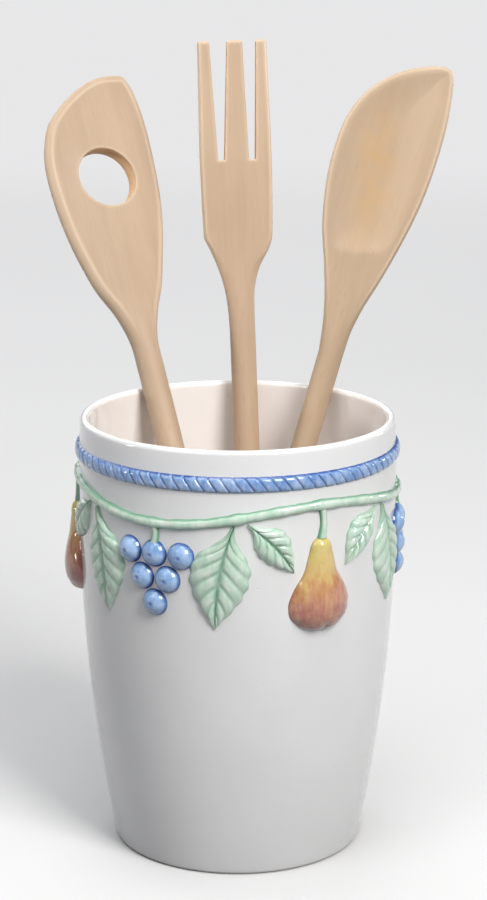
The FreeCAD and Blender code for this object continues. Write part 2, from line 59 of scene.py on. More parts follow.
from mathutils import Matrix, Quaternion, Vector
from mathutils.kdtree import KDTree

scene = bpy.context.scene
scene.view_settings.view_transform = "Standard"
print("nodes:", len(frame["nodes"]))

# %% [markdown]
# ## Meshes from points
# Thrown pots, pressed reliefs and carved wood all have smooth, formula-like surfaces, so most
# pieces here are grids of points worked out with numpy. One helper turns points and faces into
# a smooth mesh. It can store a number for each point, such as how deep a crease is, and the
# materials read that number later to let paint pool there.

# %% Mesh helpers
def store_numbers(mesh, values):
    """Store one number for each point under each label."""
    for label, numbers in values.items():
        layer = mesh.attributes.new(label, "FLOAT", "POINT")
        layer.data.foreach_set("value", np.asarray(numbers, np.float32).ravel())


def make_mesh(name, points, faces, values=None):
    """A smooth mesh. Values holds one named number for each point."""
    mesh = bpy.data.meshes.new(name)
    mesh.from_pydata(np.asarray(points).tolist(), [], faces)
    mesh.shade_smooth()
    store_numbers(mesh, values or {})
    mesh.update()
    return mesh


print("mesh helpers ready")

# %% Piece helper
def place_piece(name, mesh, finish, slot, body, *nodes):
    """Put a mesh into the scene as a piece that stands for CAD nodes and rides on their body."""
    piece = bpy.data.objects.new(name, mesh)
    scene.collection.objects.link(piece)
    mesh.materials.clear()
    mesh.materials.append(finish)
    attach(piece, body)
    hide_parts(*nodes)
    return piece


print("piece helper ready")

# %% [markdown]
# ## Node groups
# A material is a small program of nodes. What several materials share is built once as a node
# group with named inputs and outputs. `link` and `node` keep the building code short.

# %% Node helpers
def link(tree, source, socket):
    """Link a socket to another one, or set its plain value."""
    if isinstance(source, bpy.types.NodeSocket):
        tree.links.new(source, socket)
    else:
        socket.default_value = source


def node(tree, kind, inputs=None, **settings):
    """Add a node. Inputs are numbers and colours for its sockets, or sockets to link from."""
    made = tree.nodes.new(kind)
    for label, value in settings.items():
        setattr(made, label, value)
    for label, value in (inputs or {}).items():
        link(tree, value, made.inputs[label])
    return made


def calculate(tree, operation, *values, clamp=False):
    """One sum on values."""
    made = node(tree, "ShaderNodeMath", operation=operation, use_clamp=clamp)
    for value, socket in zip(values, made.inputs):
        link(tree, value, socket)
    return made.outputs[0]


def times(tree, first, second):
    """The product of two values."""
    return calculate(tree, "MULTIPLY", first, second)


def mix(tree, share, first, second):
    """Blend two colours."""
    made = node(tree, "ShaderNodeMix", data_type="RGBA", clamp_factor=True)
    link(tree, share, made.inputs[0])
    link(tree, first, made.inputs[6])
    link(tree, second, made.inputs[7])
    return made.outputs[2]


print("node helpers ready")

# %% Pattern helpers
def object_place(tree):
    """Where a point lies on the object, in metres."""
    return node(tree, "ShaderNodeTexCoord").outputs["Object"]


def stretch(tree, coordinates, scale):
    """Coordinates scaled differently along each axis."""
    made = node(tree, "ShaderNodeMapping", {"Vector": coordinates, "Scale": scale})
    return made.outputs["Vector"]


def noise(tree, coordinates, scale, detail=2.0, roughness=0.5):
    """Cloudy noise between 0 and 1."""
    made = node(tree, "ShaderNodeTexNoise", {"Vector": coordinates, "Scale": scale,
                                             "Detail": detail, "Roughness": roughness})
    return made.outputs["Fac"]


def streaks(tree, coordinates, scale, detail=2.0, roughness=0.5):
    """Noise with its own scale along each axis."""
    return noise(tree, stretch(tree, coordinates, scale), 1.0, detail, roughness)


def step_up(tree, value, low, high):
    """Ease from 0 at low to 1 at high."""
    made = node(tree, "ShaderNodeMapRange", {"Value": value, "From Min": low, "From Max": high},
                interpolation_type="SMOOTHSTEP")
    return made.outputs["Result"]


def spots(tree, coordinates, scale, fade, choice):
    """Scattered spots, one to a cell. A spot fades out between the two distances of fade. Each
    cell draws a number: below the first of choice it stays empty, above the second it is full."""
    cells = node(tree, "ShaderNodeTexVoronoi", {"Vector": coordinates, "Scale": scale})
    inside = calculate(tree, "SUBTRACT", 1.0, step_up(tree, cells.outputs["Distance"], *fade))
    draw = node(tree, "ShaderNodeSeparateColor", {"Color": cells.outputs["Color"]})
    return times(tree, inside, step_up(tree, draw.outputs["Red"], *choice))


print("pattern helpers ready")

# %% Group helpers
def new_group(name, inputs, outputs):
    """A shader node group with named sockets. Gives its tree, group input and group output."""
    tree = bpy.data.node_groups.new(name, "ShaderNodeTree")
    for label, (kind, value) in inputs.items():
        socket = tree.interface.new_socket(label, in_out="INPUT", socket_type=kind)
        if value is not None:
            socket.default_value = value
    for label, kind in outputs.items():
        tree.interface.new_socket(label, in_out="OUTPUT", socket_type=kind)
    return tree, tree.nodes.new("NodeGroupInput"), tree.nodes.new("NodeGroupOutput")


def use_group(tree, group, inputs):
    """Place a node group in a material."""
    return node(tree, "ShaderNodeGroup", inputs, node_tree=group)


print("group helpers ready")

# %% [markdown]
# ## Glaze skin
# Fired glaze is glass that has flowed. It is never quite flat: it swells slowly over the clay,
# has a fine orange-peel, and a few pinholes. Real displacement would need millions of points,
# so the group puts out a height for a Bump node, and a roughness that wanders a little.

# %% Glaze skin group
SWELL_SCALE = 30.0
PEEL_SCALE = 420.0
PINHOLE_SCALE = 260.0
PINHOLE_FADE = (0.05, 0.11)
PINHOLE_CHOICE = (0.90, 0.93)
GLAZE_ROUGHNESS = 0.07
GLAZE_WANDER = 0.10


def glaze_skin_group():
    """Height and roughness of a flowed glaze."""
    tree, entry, leave = new_group(
        "glaze_skin",
        {"Swell": ("NodeSocketFloat", 1.0), "Peel": ("NodeSocketFloat", 0.3)},
        {"Height": "NodeSocketFloat", "Roughness": "NodeSocketFloat"},
    )
    where = object_place(tree)
    fine = noise(tree, where, PEEL_SCALE)
    swell = times(tree, noise(tree, where, SWELL_SCALE, 1.0), entry.outputs["Swell"])
    raised = calculate(tree, "ADD", swell, times(tree, fine, entry.outputs["Peel"]))
    pinholes = spots(tree, where, PINHOLE_SCALE, PINHOLE_FADE, PINHOLE_CHOICE)
    link(tree, calculate(tree, "SUBTRACT", raised, pinholes), leave.inputs["Height"])
    rough = calculate(tree, "MULTIPLY_ADD", fine, GLAZE_WANDER, GLAZE_ROUGHNESS)
    link(tree, rough, leave.inputs["Roughness"])
    return tree


GLAZE_SKIN = glaze_skin_group()
print("group:", GLAZE_SKIN.name)

# %% [markdown]
# ## Brushed wash
# The colours are thin washes painted on the raised clay under the clear glaze. A wash is thin
# on the crests, full in between, and runs dark where it pools in creases and along edges. The
# group mixes those three colours. Where the paint pools comes in from the mesh, and the same
# number also holds a painted shade on the lower sides of the vine and the berries.

# %% Brushed wash group
CLOUD_SCALE = 150.0
CLOUD_SHARE = 0.6
STROKE_SCALE = (520.0, 520.0, 130.0)
STROKE_SHARE = 0.4
FULL_PAINT = (0.36, 0.62)


def brushed_wash_group():
    """Colour of an underglaze wash that mottles and pools, and darkens as painted shade where the
    mesh asks.
    """
    tree, entry, leave = new_group(
        "brushed_wash",
        {
            "Thin": ("NodeSocketColor", None),
            "Full": ("NodeSocketColor", None),
            "Deep": ("NodeSocketColor", None),
            "Pool and Shade": ("NodeSocketFloat", 0.0),
            "Mottle": ("NodeSocketFloat", 0.5),
        },
        {"Color": "NodeSocketColor"},
    )
    where = object_place(tree)
    cloud = times(tree, noise(tree, where, CLOUD_SCALE, 4.0, 0.6), CLOUD_SHARE)
    strokes = times(tree, streaks(tree, where, STROKE_SCALE, 3.0, 0.6), STROKE_SHARE)
    uneven = calculate(tree, "ADD", cloud, strokes)
    thickness = step_up(tree, uneven, *FULL_PAINT)
    painted = mix(tree, thickness, entry.outputs["Thin"], entry.outputs["Full"])
    # The mesh number holds pooled paint and, on the vine and berries, painted shade.
    drift = times(tree, calculate(tree, "SUBTRACT", uneven, 0.5), entry.outputs["Mottle"])
    pooled_and_shaded = calculate(tree, "ADD", entry.outputs["Pool and Shade"], drift, clamp=True)
    link(tree, mix(tree, pooled_and_shaded, painted, entry.outputs["Deep"]), leave.inputs["Color"])
    return tree


BRUSHED_WASH = brushed_wash_group()
print("group:", BRUSHED_WASH.name)

# %% [markdown]
# ## Beech grain
# The tools are plain sanded beech: a pale tan ground, slow bands from the growth rings, soft
# patches, fine lengthwise fibre, and the short brown flecks that beech is known by, which show
# most on the handles. The grain follows the tool's own length and not the room, so each tool
# stores its own coordinates in its mesh.

# %% Beech grain sizes
WAVER_SCALE = (60.0, 60.0, 12.0)
WAVER_REACH = (0.004, 0.004, 0.0)
BAND_SCALE = (105.0, 75.0, 2.4)
BAND_SHARE = 0.45
PATCH_SCALE = (48.0, 48.0, 24.0)
PATCH_SHARE = 0.40
FIBRE_SCALE = (1500.0, 1500.0, 36.0)
FIBRE_SHARE = 0.15
TAN_TONE = (0.36, 0.64)
DASH_SCALE = (780.0, 780.0, 115.0)
DASH_FADE = (0.10, 0.30)
DASH_CHOICE = (0.45, 0.70)
# Levels between which the handle turns into the head, and the share of dashes the head lacks.
HEAD_LEVELS = (0.19, 0.25)
HEAD_PLAIN = 0.55
WOOD_ROUGHNESS = 0.42
WOOD_WANDER = 0.25
print("shares of bands, patches and fibre:", BAND_SHARE, PATCH_SHARE, FIBRE_SHARE)

# %% Beech grain group
def beech_grain_group():
    """Colour, roughness and height of sanded beech."""
    tree, entry, leave = new_group(
        "beech_grain",
        {
            "Grain": ("NodeSocketVector", None),
            "Pale": ("NodeSocketColor", None),
            "Tan": ("NodeSocketColor", None),
            "Fleck": ("NodeSocketColor", None),
            "Fleck Amount": ("NodeSocketFloat", 0.5),
        },
        {"Color": "NodeSocketColor", "Roughness": "NodeSocketFloat", "Height": "NodeSocketFloat"},
    )
    grain = entry.outputs["Grain"]
    waver = node(tree, "ShaderNodeTexNoise", {"Vector": stretch(tree, grain, WAVER_SCALE),
                                              "Scale": 1.0, "Detail": 1.0})
    lean = node(tree, "ShaderNodeVectorMath", operation="MULTIPLY_ADD")
    for value, socket in zip((waver.outputs["Color"], WAVER_REACH, grain), lean.inputs):
        link(tree, value, socket)
    lengthwise = lean.outputs["Vector"]
    tone = times(tree, streaks(tree, lengthwise, BAND_SCALE), BAND_SHARE)
    fibre = streaks(tree, lengthwise, FIBRE_SCALE, 3.0, 0.6)
    tone = calculate(tree, "ADD", tone, times(tree, fibre, FIBRE_SHARE))
    patches = streaks(tree, grain, PATCH_SCALE)
    tone = calculate(tree, "ADD", tone, times(tree, patches, PATCH_SHARE))
    ground = mix(tree, step_up(tree, tone, *TAN_TONE), entry.outputs["Pale"], entry.outputs["Tan"])
    dash = spots(tree, stretch(tree, lengthwise, DASH_SCALE), 1.0, DASH_FADE, DASH_CHOICE)
    level = node(tree, "ShaderNodeSeparateXYZ", {"Vector": grain}).outputs["Z"]
    plain_head = times(tree, step_up(tree, level, *HEAD_LEVELS), HEAD_PLAIN)
    dash = times(tree, dash, calculate(tree, "SUBTRACT", 1.0, plain_head))
    flecked = times(tree, dash, entry.outputs["Fleck Amount"])
    link(tree, mix(tree, flecked, ground, entry.outputs["Fleck"]), leave.inputs["Color"])
    rough = calculate(tree, "MULTIPLY_ADD", fibre, WOOD_WANDER, WOOD_ROUGHNESS)
    link(tree, rough, leave.inputs["Roughness"])
    link(tree, calculate(tree, "SUBTRACT", fibre, dash), leave.inputs["Height"])
    return tree


BEECH_GRAIN = beech_grain_group()
print("group:", BEECH_GRAIN.name)

# %% [markdown]
# ## Glazed finishes
# All ceramic finishes are the same clay and clear glaze with a different paint below. Each is
# a Principled shader: the paint goes to Base Color, the clear glaze is the coat, and the glaze
# skin gives the bump and roughness.

# %% Glazed finish helpers
BUMP_REACH = 0.001
COAT_WEIGHT = 0.6
COAT_ROUGHNESS = 0.035


def new_finish(name):
    """An empty material with its Principled shader."""
    finish = bpy.data.materials.new(name)
    finish.use_nodes = True
    shader = finish.node_tree.nodes["Principled BSDF"]
    return finish, finish.node_tree, shader


def mesh_value(tree, label):
    """A number that the mesh stores at each point."""
    return node(tree, "ShaderNodeAttribute", attribute_name=label).outputs["Fac"]


def bump(tree, shader, height, strength):
    """Let a height bend the surface."""
    made = node(tree, "ShaderNodeBump",
                {"Height": height, "Strength": strength, "Distance": BUMP_REACH})
    link(tree, made.outputs["Normal"], shader.inputs["Normal"])


def glaze_over(tree, shader, colour, swell, peel, strength):
    """Finish a painted or white surface with the flowed clear glaze."""
    link(tree, colour, shader.inputs["Base Color"])
    skin = use_group(tree, GLAZE_SKIN, {"Swell": swell, "Peel": peel})
    link(tree, skin.outputs["Roughness"], shader.inputs["Roughness"])
    bump(tree, shader, skin.outputs["Height"], strength)
    shader.inputs["Coat Weight"].default_value = COAT_WEIGHT
    shader.inputs["Coat Roughness"].default_value = COAT_ROUGHNESS


print("finish helpers ready")

# %% [markdown]
# ### White glaze
# The pot is dipped in white glaze. Inside it looks warmer, and its white is also painted lighter
# than outside, as painted light on the inner wall. The foot ring is wiped bare so that it
# doesn't stick in the kiln. Three materials would leave hard seams, so one material mixes the
# colours by numbers that the mesh stores.

# %% White glaze
OUTSIDE_WHITE = (0.815, 0.82, 0.83, 1)
OUTSIDE_CREAM = (0.79, 0.79, 0.795, 1)
INSIDE_WHITE_PAINTED_LIGHTER = (0.93, 0.885, 0.86, 1)
BARE_CLAY = (0.66, 0.58, 0.48, 1)
CREAM_SCALE = 16.0
CREAM_TONE = (0.35, 0.65)
SPECK_SCALE = 900.0
SPECK_TONE = (0.74, 0.80)
SPECK_SHARE = 0.35


def white_glaze():
    """White outside, a warmer white inside that is painted lighter as painted light, bare clay on
    the foot ring.
    """
    finish, tree, shader = new_finish("white_glaze")
    where = object_place(tree)
    cloud = step_up(tree, noise(tree, where, CREAM_SCALE, 3.0), *CREAM_TONE)
    colour = mix(tree, cloud, OUTSIDE_WHITE, OUTSIDE_CREAM)
    # Painted light: inside, the white is lighter than outside, standing in for light on the inner
    # wall.
    colour = mix(tree, mesh_value(tree, "inside"), colour, INSIDE_WHITE_PAINTED_LIGHTER)
    speck = step_up(tree, noise(tree, where, SPECK_SCALE), *SPECK_TONE)
    colour = mix(tree, times(tree, speck, SPECK_SHARE), colour, BARE_CLAY)
    colour = mix(tree, mesh_value(tree, "foot"), colour, BARE_CLAY)
    glaze_over(tree, shader, colour, swell=0.9, peel=0.06, strength=0.35)
    return finish


WHITE_GLAZE = white_glaze()
print("finish:", WHITE_GLAZE.name)

# %% [markdown]
# ### Painted colours
# Rope, leaves and berries are painted in the same manner, so one function makes all three from
# a thin, a full and a deep colour. The last number says how strongly the paint mottles.

# %% Painted glazes
def brush_on(tree, shader, thin, full, deep, mottle, swell):
    """Paint with a wash that pools, or darkens as painted shade, where the mesh says so, and glaze
    over it.
    """
    wash = use_group(tree, BRUSHED_WASH, {"Thin": thin, "Full": full, "Deep": deep,
                                          "Pool and Shade": mesh_value(tree, "pool_and_shade"), "Mottle": mottle})
    glaze_over(tree, shader, wash.outputs["Color"], swell, peel=0.12, strength=0.5)


def painted_glaze(name, thin, full, deep, mottle):
    """A finish of one washed colour."""
    finish, tree, shader = new_finish(name)
    brush_on(tree, shader, thin, full, deep, mottle, swell=0.5)
    return finish


ROPE_BLUE = painted_glaze(
    "rope_blue", (0.37, 0.50, 0.75, 1), (0.15, 0.30, 0.61, 1), (0.012, 0.05, 0.27, 1), 0.6)
LEAF_GREEN = painted_glaze(
    "leaf_green", (0.69, 0.80, 0.70, 1), (0.49, 0.69, 0.55, 1), (0.16, 0.36, 0.235, 1), 0.40)
BERRY_BLUE = painted_glaze(
    "berry_blue", (0.40, 0.56, 0.83, 1), (0.20, 0.37, 0.68, 1), (0.04, 0.10, 0.32, 1), 0.5)
print("finishes:", ROPE_BLUE.name, LEAF_GREEN.name, BERRY_BLUE.name)

# %% [markdown]
# ### Pear paint
# A pear is brushed from yellow at its neck through orange to a dusky red at its base, wet in
# wet, so the colours streak into each other. A colour ramp along the fruit gives the change,
# and noise that is stretched along the fruit pushes it up and down to make the brush marks.

# %% Pear glaze
PEAR_RAMP = (
    (0.00, (0.66, 0.56, 0.17, 1)),
    (0.28, (0.64, 0.44, 0.15, 1)),
    (0.50, (0.54, 0.26, 0.115, 1)),
    (0.72, (0.45, 0.14, 0.105, 1)),
    (1.00, (0.33, 0.085, 0.08, 1)),
)
PEAR_THIN = (0.85, 0.62, 0.34, 1)
PEAR_THIN_SHARE = 0.30
PEAR_EDGE = (0.17, 0.035, 0.038, 1)
PEAR_STREAKS = (430.0, 430.0, 70.0)
STREAK_PUSH = 0.75
PEAR_MOTTLE = 0.45


def pear_glaze():
    """Yellow to dusky red, brushed along the fruit."""
    finish, tree, shader = new_finish("pear_glaze")
    streak = streaks(tree, object_place(tree), PEAR_STREAKS, 4.0, 0.6)
    push = times(tree, calculate(tree, "SUBTRACT", streak, 0.5), STREAK_PUSH)
    place = calculate(tree, "ADD", mesh_value(tree, "blush"), push, clamp=True)
    ramp = node(tree, "ShaderNodeValToRGB", {"Fac": place})
    stops = ramp.color_ramp.elements
    while len(stops) < len(PEAR_RAMP):
        stops.new(0.5)
    for stop, (position, colour) in zip(stops, PEAR_RAMP):
        stop.position = position
        stop.color = colour
    paint = ramp.outputs["Color"]
    thin = mix(tree, PEAR_THIN_SHARE, paint, PEAR_THIN)
    brush_on(tree, shader, thin, paint, PEAR_EDGE, PEAR_MOTTLE, swell=0.6)
    return finish


PEAR_GLAZE = pear_glaze()
print("finish:", PEAR_GLAZE.name)

# %% [markdown]
# ### Wood finishes
# The three tools come from different boards, so each has its own pair of tans and its own
# amount of fleck. A pale line runs along the edges, partly from sanding and partly painted
# highlight, and the side walls are painted lighter as painted light. The sawn walls of the hole
# and the slots take a lighter, warmer orange: the tone of sawn end grain, and painted light
# on walls that lie in shade. The spoon's bowl is stained by use. The mesh says where.

# %% Beech finishes
FLECK_BROWN = (0.40, 0.225, 0.11, 1)
# Pale colour of the edges and side walls: partly sanding, partly painted highlight and painted
# light.
PALE_EDGE_WEAR_AND_HIGHLIGHT = (0.68, 0.53, 0.39, 1)
PALE_EDGE_SHARE = 0.7
# Sawn walls: the warm tone of end grain, painted lighter as painted light on walls in shade.
SAWN_ORANGE_AND_PAINTED_LIGHT = (0.74, 0.475, 0.25, 1)
BOWL_STAIN = (0.56, 0.335, 0.135, 1)
STAIN_SCALE = 90.0
STAIN_TONE = (0.20, 0.66)
FIBRE_BUMP = 0.10
WOOD_SPECULAR = 0.35


def beech(name, pale, tan, fleck_amount):
    """Sanded beech with its grain along the tool."""
    finish, tree, shader = new_finish(name)
    grain = node(tree, "ShaderNodeAttribute", attribute_name="grain").outputs["Vector"]
    wood = use_group(tree, BEECH_GRAIN, {"Grain": grain, "Pale": pale, "Tan": tan,
                                         "Fleck": FLECK_BROWN, "Fleck Amount": fleck_amount})
    blotches = step_up(tree, noise(tree, grain, STAIN_SCALE, 3.0), *STAIN_TONE)
    stain = times(tree, mesh_value(tree, "stain"), blotches)
    colour = mix(tree, stain, wood.outputs["Color"], BOWL_STAIN)
    # Sawn walls take a lighter orange, partly end grain and partly painted light.
    colour = mix(tree, mesh_value(tree, "sawn"), colour, SAWN_ORANGE_AND_PAINTED_LIGHT)
    rubbed_and_painted_light = times(tree, mesh_value(tree, "wear_and_painted_light"), PALE_EDGE_SHARE)
    # Paler edges and side walls, partly sanding and partly painted highlight and painted light.
    link(tree, mix(tree, rubbed_and_painted_light, colour, PALE_EDGE_WEAR_AND_HIGHLIGHT), shader.inputs["Base Color"])
    link(tree, wood.outputs["Roughness"], shader.inputs["Roughness"])
    bump(tree, shader, wood.outputs["Height"], FIBRE_BUMP)
    shader.inputs["Specular IOR Level"].default_value = WOOD_SPECULAR
    return finish


SPATULA_WOOD = beech("spatula_wood", (0.488, 0.359, 0.253, 1), (0.436, 0.31, 0.211, 1), 0.30)
FORK_WOOD = beech("fork_wood", (0.537, 0.392, 0.273, 1), (0.48, 0.336, 0.225, 1), 0.30)
SPOON_WOOD = beech("spoon_wood", (0.494, 0.368, 0.255, 1), (0.442, 0.315, 0.208, 1), 0.40)
print("finishes:", SPATULA_WOOD.name, FORK_WOOD.name, SPOON_WOOD.name)

# %% [markdown]
# ## The crock
# The wall is two arcs that meet at the belly, the widest level. A pot is a turned form, so its
# half outline is spun about Z. Every sharp corner of the outline gets an arc first, since a
# rounded lip and foot catch the light as glaze does.

# %% Wall of the crock
CROCK_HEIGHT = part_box("crock_body")[1].z
BELLY_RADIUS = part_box("crock_body")[1].x
BELLY_HEIGHT = 0.136
RIM_DRAW_IN = 0.0007
FOOT_DRAW_IN = 0.0135
WALL = 0.0038
FLOOR = 0.007


def wall_radius(height):
    """Radius of the outer wall at a height."""
    height = np.asarray(height, float)
    below = height < BELLY_HEIGHT
    draw_in = np.where(below, FOOT_DRAW_IN, RIM_DRAW_IN)
    reach = np.where(below, BELLY_HEIGHT, CROCK_HEIGHT - BELLY_HEIGHT)
    sweep = (reach ** 2 + draw_in ** 2) / (2 * draw_in)
    return BELLY_RADIUS - sweep + np.sqrt(sweep ** 2 - (height - BELLY_HEIGHT) ** 2)


RIM_RADIUS = float(wall_radius(CROCK_HEIGHT))
FOOT_RADIUS = float(wall_radius(0))
print("rim and foot radius:", round(RIM_RADIUS, 4), round(FOOT_RADIUS, 4))

# %% Rounded corners
CORNER_STEPS = 9


def rounded(before, corner, after, radius):
    """Points of the arc that rounds a corner of an outline."""
    before, corner, after = (np.array(point, float) for point in (before, corner, after))
    first = (before - corner) / np.linalg.norm(before - corner)
    second = (after - corner) / np.linalg.norm(after - corner)
    half = math.acos(float(np.clip(first @ second, -1, 1))) / 2
    centre = corner + (first + second) / np.linalg.norm(first + second) * radius / math.sin(half)
    start = corner + first * radius / math.tan(half) - centre
    finish = corner + second * radius / math.tan(half) - centre
    sweep = math.pi - 2 * half
    shares = np.linspace(0, 1, CORNER_STEPS)
    weights = [(math.sin((1 - share) * sweep), math.sin(share * sweep)) for share in shares]
    return [centre + (a * start + b * finish) / math.sin(sweep) for a, b in weights]


print("points on each rounded corner:", CORNER_STEPS)

# %% Outline of the crock
FOOT_RECESS = 0.002
FOOT_RING = 0.006
WALL_STEPS = 56
# The straight runs of the outline stop short of its rounded corners.
WALL_START = 0.004
WALL_END = CROCK_HEIGHT - 0.0035
INSIDE_END = FLOOR + 0.012
UNDERSIDE_RUN = np.linspace(0, 0.96, 8)
FLOOR_RUN = np.linspace(0.78, 0, 10)
RECESS_ROUND = 0.0008
RING_ROUND = 0.001
FOOT_ROUND = 0.002
LIP_ROUND = 0.00185
FLOOR_ROUND = 0.009


def wall_run(start, end, thickness):
    """Points along the wall, moved inward by a thickness."""
    levels = np.linspace(start, end, WALL_STEPS)
    return [(float(wall_radius(level)) - thickness, level) for level in levels]


def crock_outline():
    """Half outline from the middle of the underside, up the outside and down to the floor."""
    recess, ring = (FOOT_RADIUS - FOOT_RING, FOOT_RECESS), (FOOT_RADIUS - FOOT_RING, 0)
    foot = (FOOT_RADIUS, 0)
    outer_lip, inner_lip = (RIM_RADIUS, CROCK_HEIGHT), (RIM_RADIUS - WALL, CROCK_HEIGHT)
    inner_floor = float(wall_radius(FLOOR)) - WALL
    outer = wall_run(WALL_START, WALL_END, 0)
    inner = wall_run(WALL_END, INSIDE_END, WALL)
    outline = [(recess[0] * share, FOOT_RECESS) for share in UNDERSIDE_RUN]
    outline += rounded(outline[-1], recess, ring, RECESS_ROUND)
    outline += rounded(recess, ring, foot, RING_ROUND)
    outline += rounded(ring, foot, outer[0], FOOT_ROUND)
    outline += outer
    outline += rounded(outer[-1], outer_lip, inner_lip, LIP_ROUND)
    outline += rounded(outer_lip, inner_lip, inner[0], LIP_ROUND)
    outline += inner
    outline += rounded(inner[-1], (inner_floor, FLOOR), (0, FLOOR), FLOOR_ROUND)
    outline += [(inner_floor * share, FLOOR) for share in FLOOR_RUN]
    return np.array(outline)


OUTLINE = crock_outline()
print("outline points:", len(OUTLINE))

# %% Faces between rings
def loop_faces(rows, columns, closed_rows=False):
    """Quads between rings of points. The last ring may close on to the first one."""
    faces = []
    for row in range(rows if closed_rows else rows - 1):
        lower = row * columns
        upper = ((row + 1) % rows) * columns
        for column in range(columns):
            following = (column + 1) % columns
            faces.append((lower + column, lower + following, upper + following, upper + column))
    return faces


def capped_faces(rows, columns):
    """Quads between rings, a fan that closes the first ring and one that closes the last. The
    two middle points of the fans are stored after the rings."""
    faces = loop_faces(rows, columns)
    first_middle = rows * columns
    last = first_middle - columns
    for column in range(columns):
        following = (column + 1) % columns
        faces.append((first_middle, following, column))
        faces.append((first_middle + 1, last + column, last + following))
    return faces


print("ring helpers ready")

# %% Spin the crock
TURN_STEPS = 320
BARE_LEVEL = 0.0006


def ramp_up(numbers, start, reach):
    """Rise evenly from 0 at a start to 1 at the end of a reach."""
    return np.clip((numbers - start) / reach, 0, 1)


def crock_mesh():
    """The outline spun about Z, with a pole in the middle of the underside and of the floor."""
    turns = np.linspace(0, 2 * math.pi, TURN_STEPS, endpoint=False)
    ring = OUTLINE[1:-1]
    levels = np.repeat(ring[:, 1], TURN_STEPS)
    points = np.stack([np.outer(ring[:, 0], np.cos(turns)).ravel(),
                       np.outer(ring[:, 0], np.sin(turns)).ravel(), levels], axis=1)
    points = np.vstack([points, [(0, 0, OUTLINE[0, 1]), (0, 0, OUTLINE[-1, 1])]])
    top = int(np.argmax(ring[:, 1]))
    order = np.arange(len(ring))
    inside = ramp_up(order, top, CORNER_STEPS)
    foot = (ring[:, 1] < BARE_LEVEL) & (order < top)
    values = {
        "inside": np.append(np.repeat(inside, TURN_STEPS), [0, 1]),
        "foot": np.append(np.repeat(foot, TURN_STEPS), [0, 0]),
    }
    return make_mesh("crock", points, capped_faces(len(ring), TURN_STEPS), values)


crock = place_piece("crock", crock_mesh(), WHITE_GLAZE, "white_glaze", "crock", "crock_body")
print("crock faces:", len(crock.data.polygons))

# %% [markdown]
# ## The rope moulding
# The rope is a crowned band with slanting strands. Cutting grooves with modifiers would leave
# hard edges, so its height is a formula: the band's crown times a bulge for each strand. The
# same formula says how deep a point lies, and the blue paint pools there.

# %% Rope sizes
ROPE_LEVEL = 0.165
ROPE_WIDTH = 0.0066
ROPE_STAND = 0.0017
ROPE_STRANDS = 84
ROPE_LAY = math.radians(31)
STRAND_STEPS = 18
ROPE_COLUMNS = 25
RELIEF_ROOT = 0.001
ROPE_BACK = 1.4 * RELIEF_ROOT
GROOVE_LEVEL = 0.72
GROOVE_WIDTH = 0.62
# How strong the paint is in the middle of a groove, and how fast it fades towards the crest.
GROOVE_FULL = 1.55
GROOVE_FALL = 4.6
# Where the paint of an edge starts, and how far on it is full.
ROPE_EDGE = (0.70, 0.18)
ROPE_EDGE_PAINT = 0.85
# Some grooves take more paint than others.
GROOVE_PAINT = np.random.default_rng(11).uniform(0.35, 1.0, ROPE_STRANDS)
print("strands:", ROPE_STRANDS)

# %% Rope band
def crowded(count):
    """A row of places from -1 to 1 that crowd towards both ends."""
    return np.sin(np.linspace(-1, 1, count) * math.pi / 2)[None, :]


def rope_mesh():
    """A ring of slanting strands, with its back sunk into the wall."""
    count = ROPE_STRANDS * STRAND_STEPS
    turn = np.linspace(0, 2 * math.pi, count, endpoint=False)[:, None]
    across = crowded(ROPE_COLUMNS)
    rise = across * ROPE_WIDTH / 2
    wall = wall_radius(ROPE_LEVEL)
    shift = rise * math.tan(ROPE_LAY) * (1.25 - 0.25 * across ** 2)
    strand = (turn * wall + shift) * ROPE_STRANDS / (2 * math.pi * wall)
    wave = np.abs(np.sin(math.pi * strand))
    bulge = 1 - (1 - np.clip(wave / GROOVE_WIDTH, 0, 1)) ** 2
    crown = np.sqrt(np.clip(1 - np.abs(across) ** 3, 0, 1))
    height = crown * (GROOVE_LEVEL + (1 - GROOVE_LEVEL) * bulge)
    lift = (ROPE_STAND + RELIEF_ROOT) * height - RELIEF_ROOT
    level = ROPE_LEVEL + rise
    radius = np.hstack([wall_radius(level) + lift, np.full((count, 1), wall - ROPE_BACK)])
    level = np.broadcast_to(np.hstack([level, [[ROPE_LEVEL]]]), radius.shape)
    points = np.stack([radius * np.cos(turn), radius * np.sin(turn), level], axis=-1)
    groove = np.clip(GROOVE_FULL - wave * GROOVE_FALL, 0, 1)
    groove = groove * GROOVE_PAINT[np.round(strand).astype(int) % ROPE_STRANDS]
    edge = ROPE_EDGE_PAINT * ramp_up(np.abs(across), *ROPE_EDGE)
    pool_and_shade = np.hstack([np.maximum(groove, edge), np.ones((count, 1))])
    faces = [face[::-1] for face in loop_faces(count, ROPE_COLUMNS + 1, closed_rows=True)]
    return make_mesh("rope", points.reshape(-1, 3), faces, {"pool_and_shade": pool_and_shade})


rope = place_piece("rope", rope_mesh(), ROPE_BLUE, "rope_blue", "crock", "rope_band")
print("rope faces:", len(rope.data.polygons))

# %% [markdown]
# ## Reliefs on the wall
# Vine, leaves and fruit are pressed in small moulds and set on the wet wall. Each is a grid of
# points over the wall: along, height and lift. `relief_mesh` wraps the grid on the wall and
# closes it with a back that lies inside the wall, so no gap can show.

# %% Relief mesh
BACK = 1.3 * RELIEF_ROOT
END_ANGLE = math.radians(60)


def on_wall(along, height, lift):
    """Points over the wall. Along is the arc length from the start of the pattern."""
    turn = along / BELLY_RADIUS
    radius = wall_radius(height) + lift
    return np.stack([radius * np.cos(turn), radius * np.sin(turn), height + 0 * radius], axis=-1)


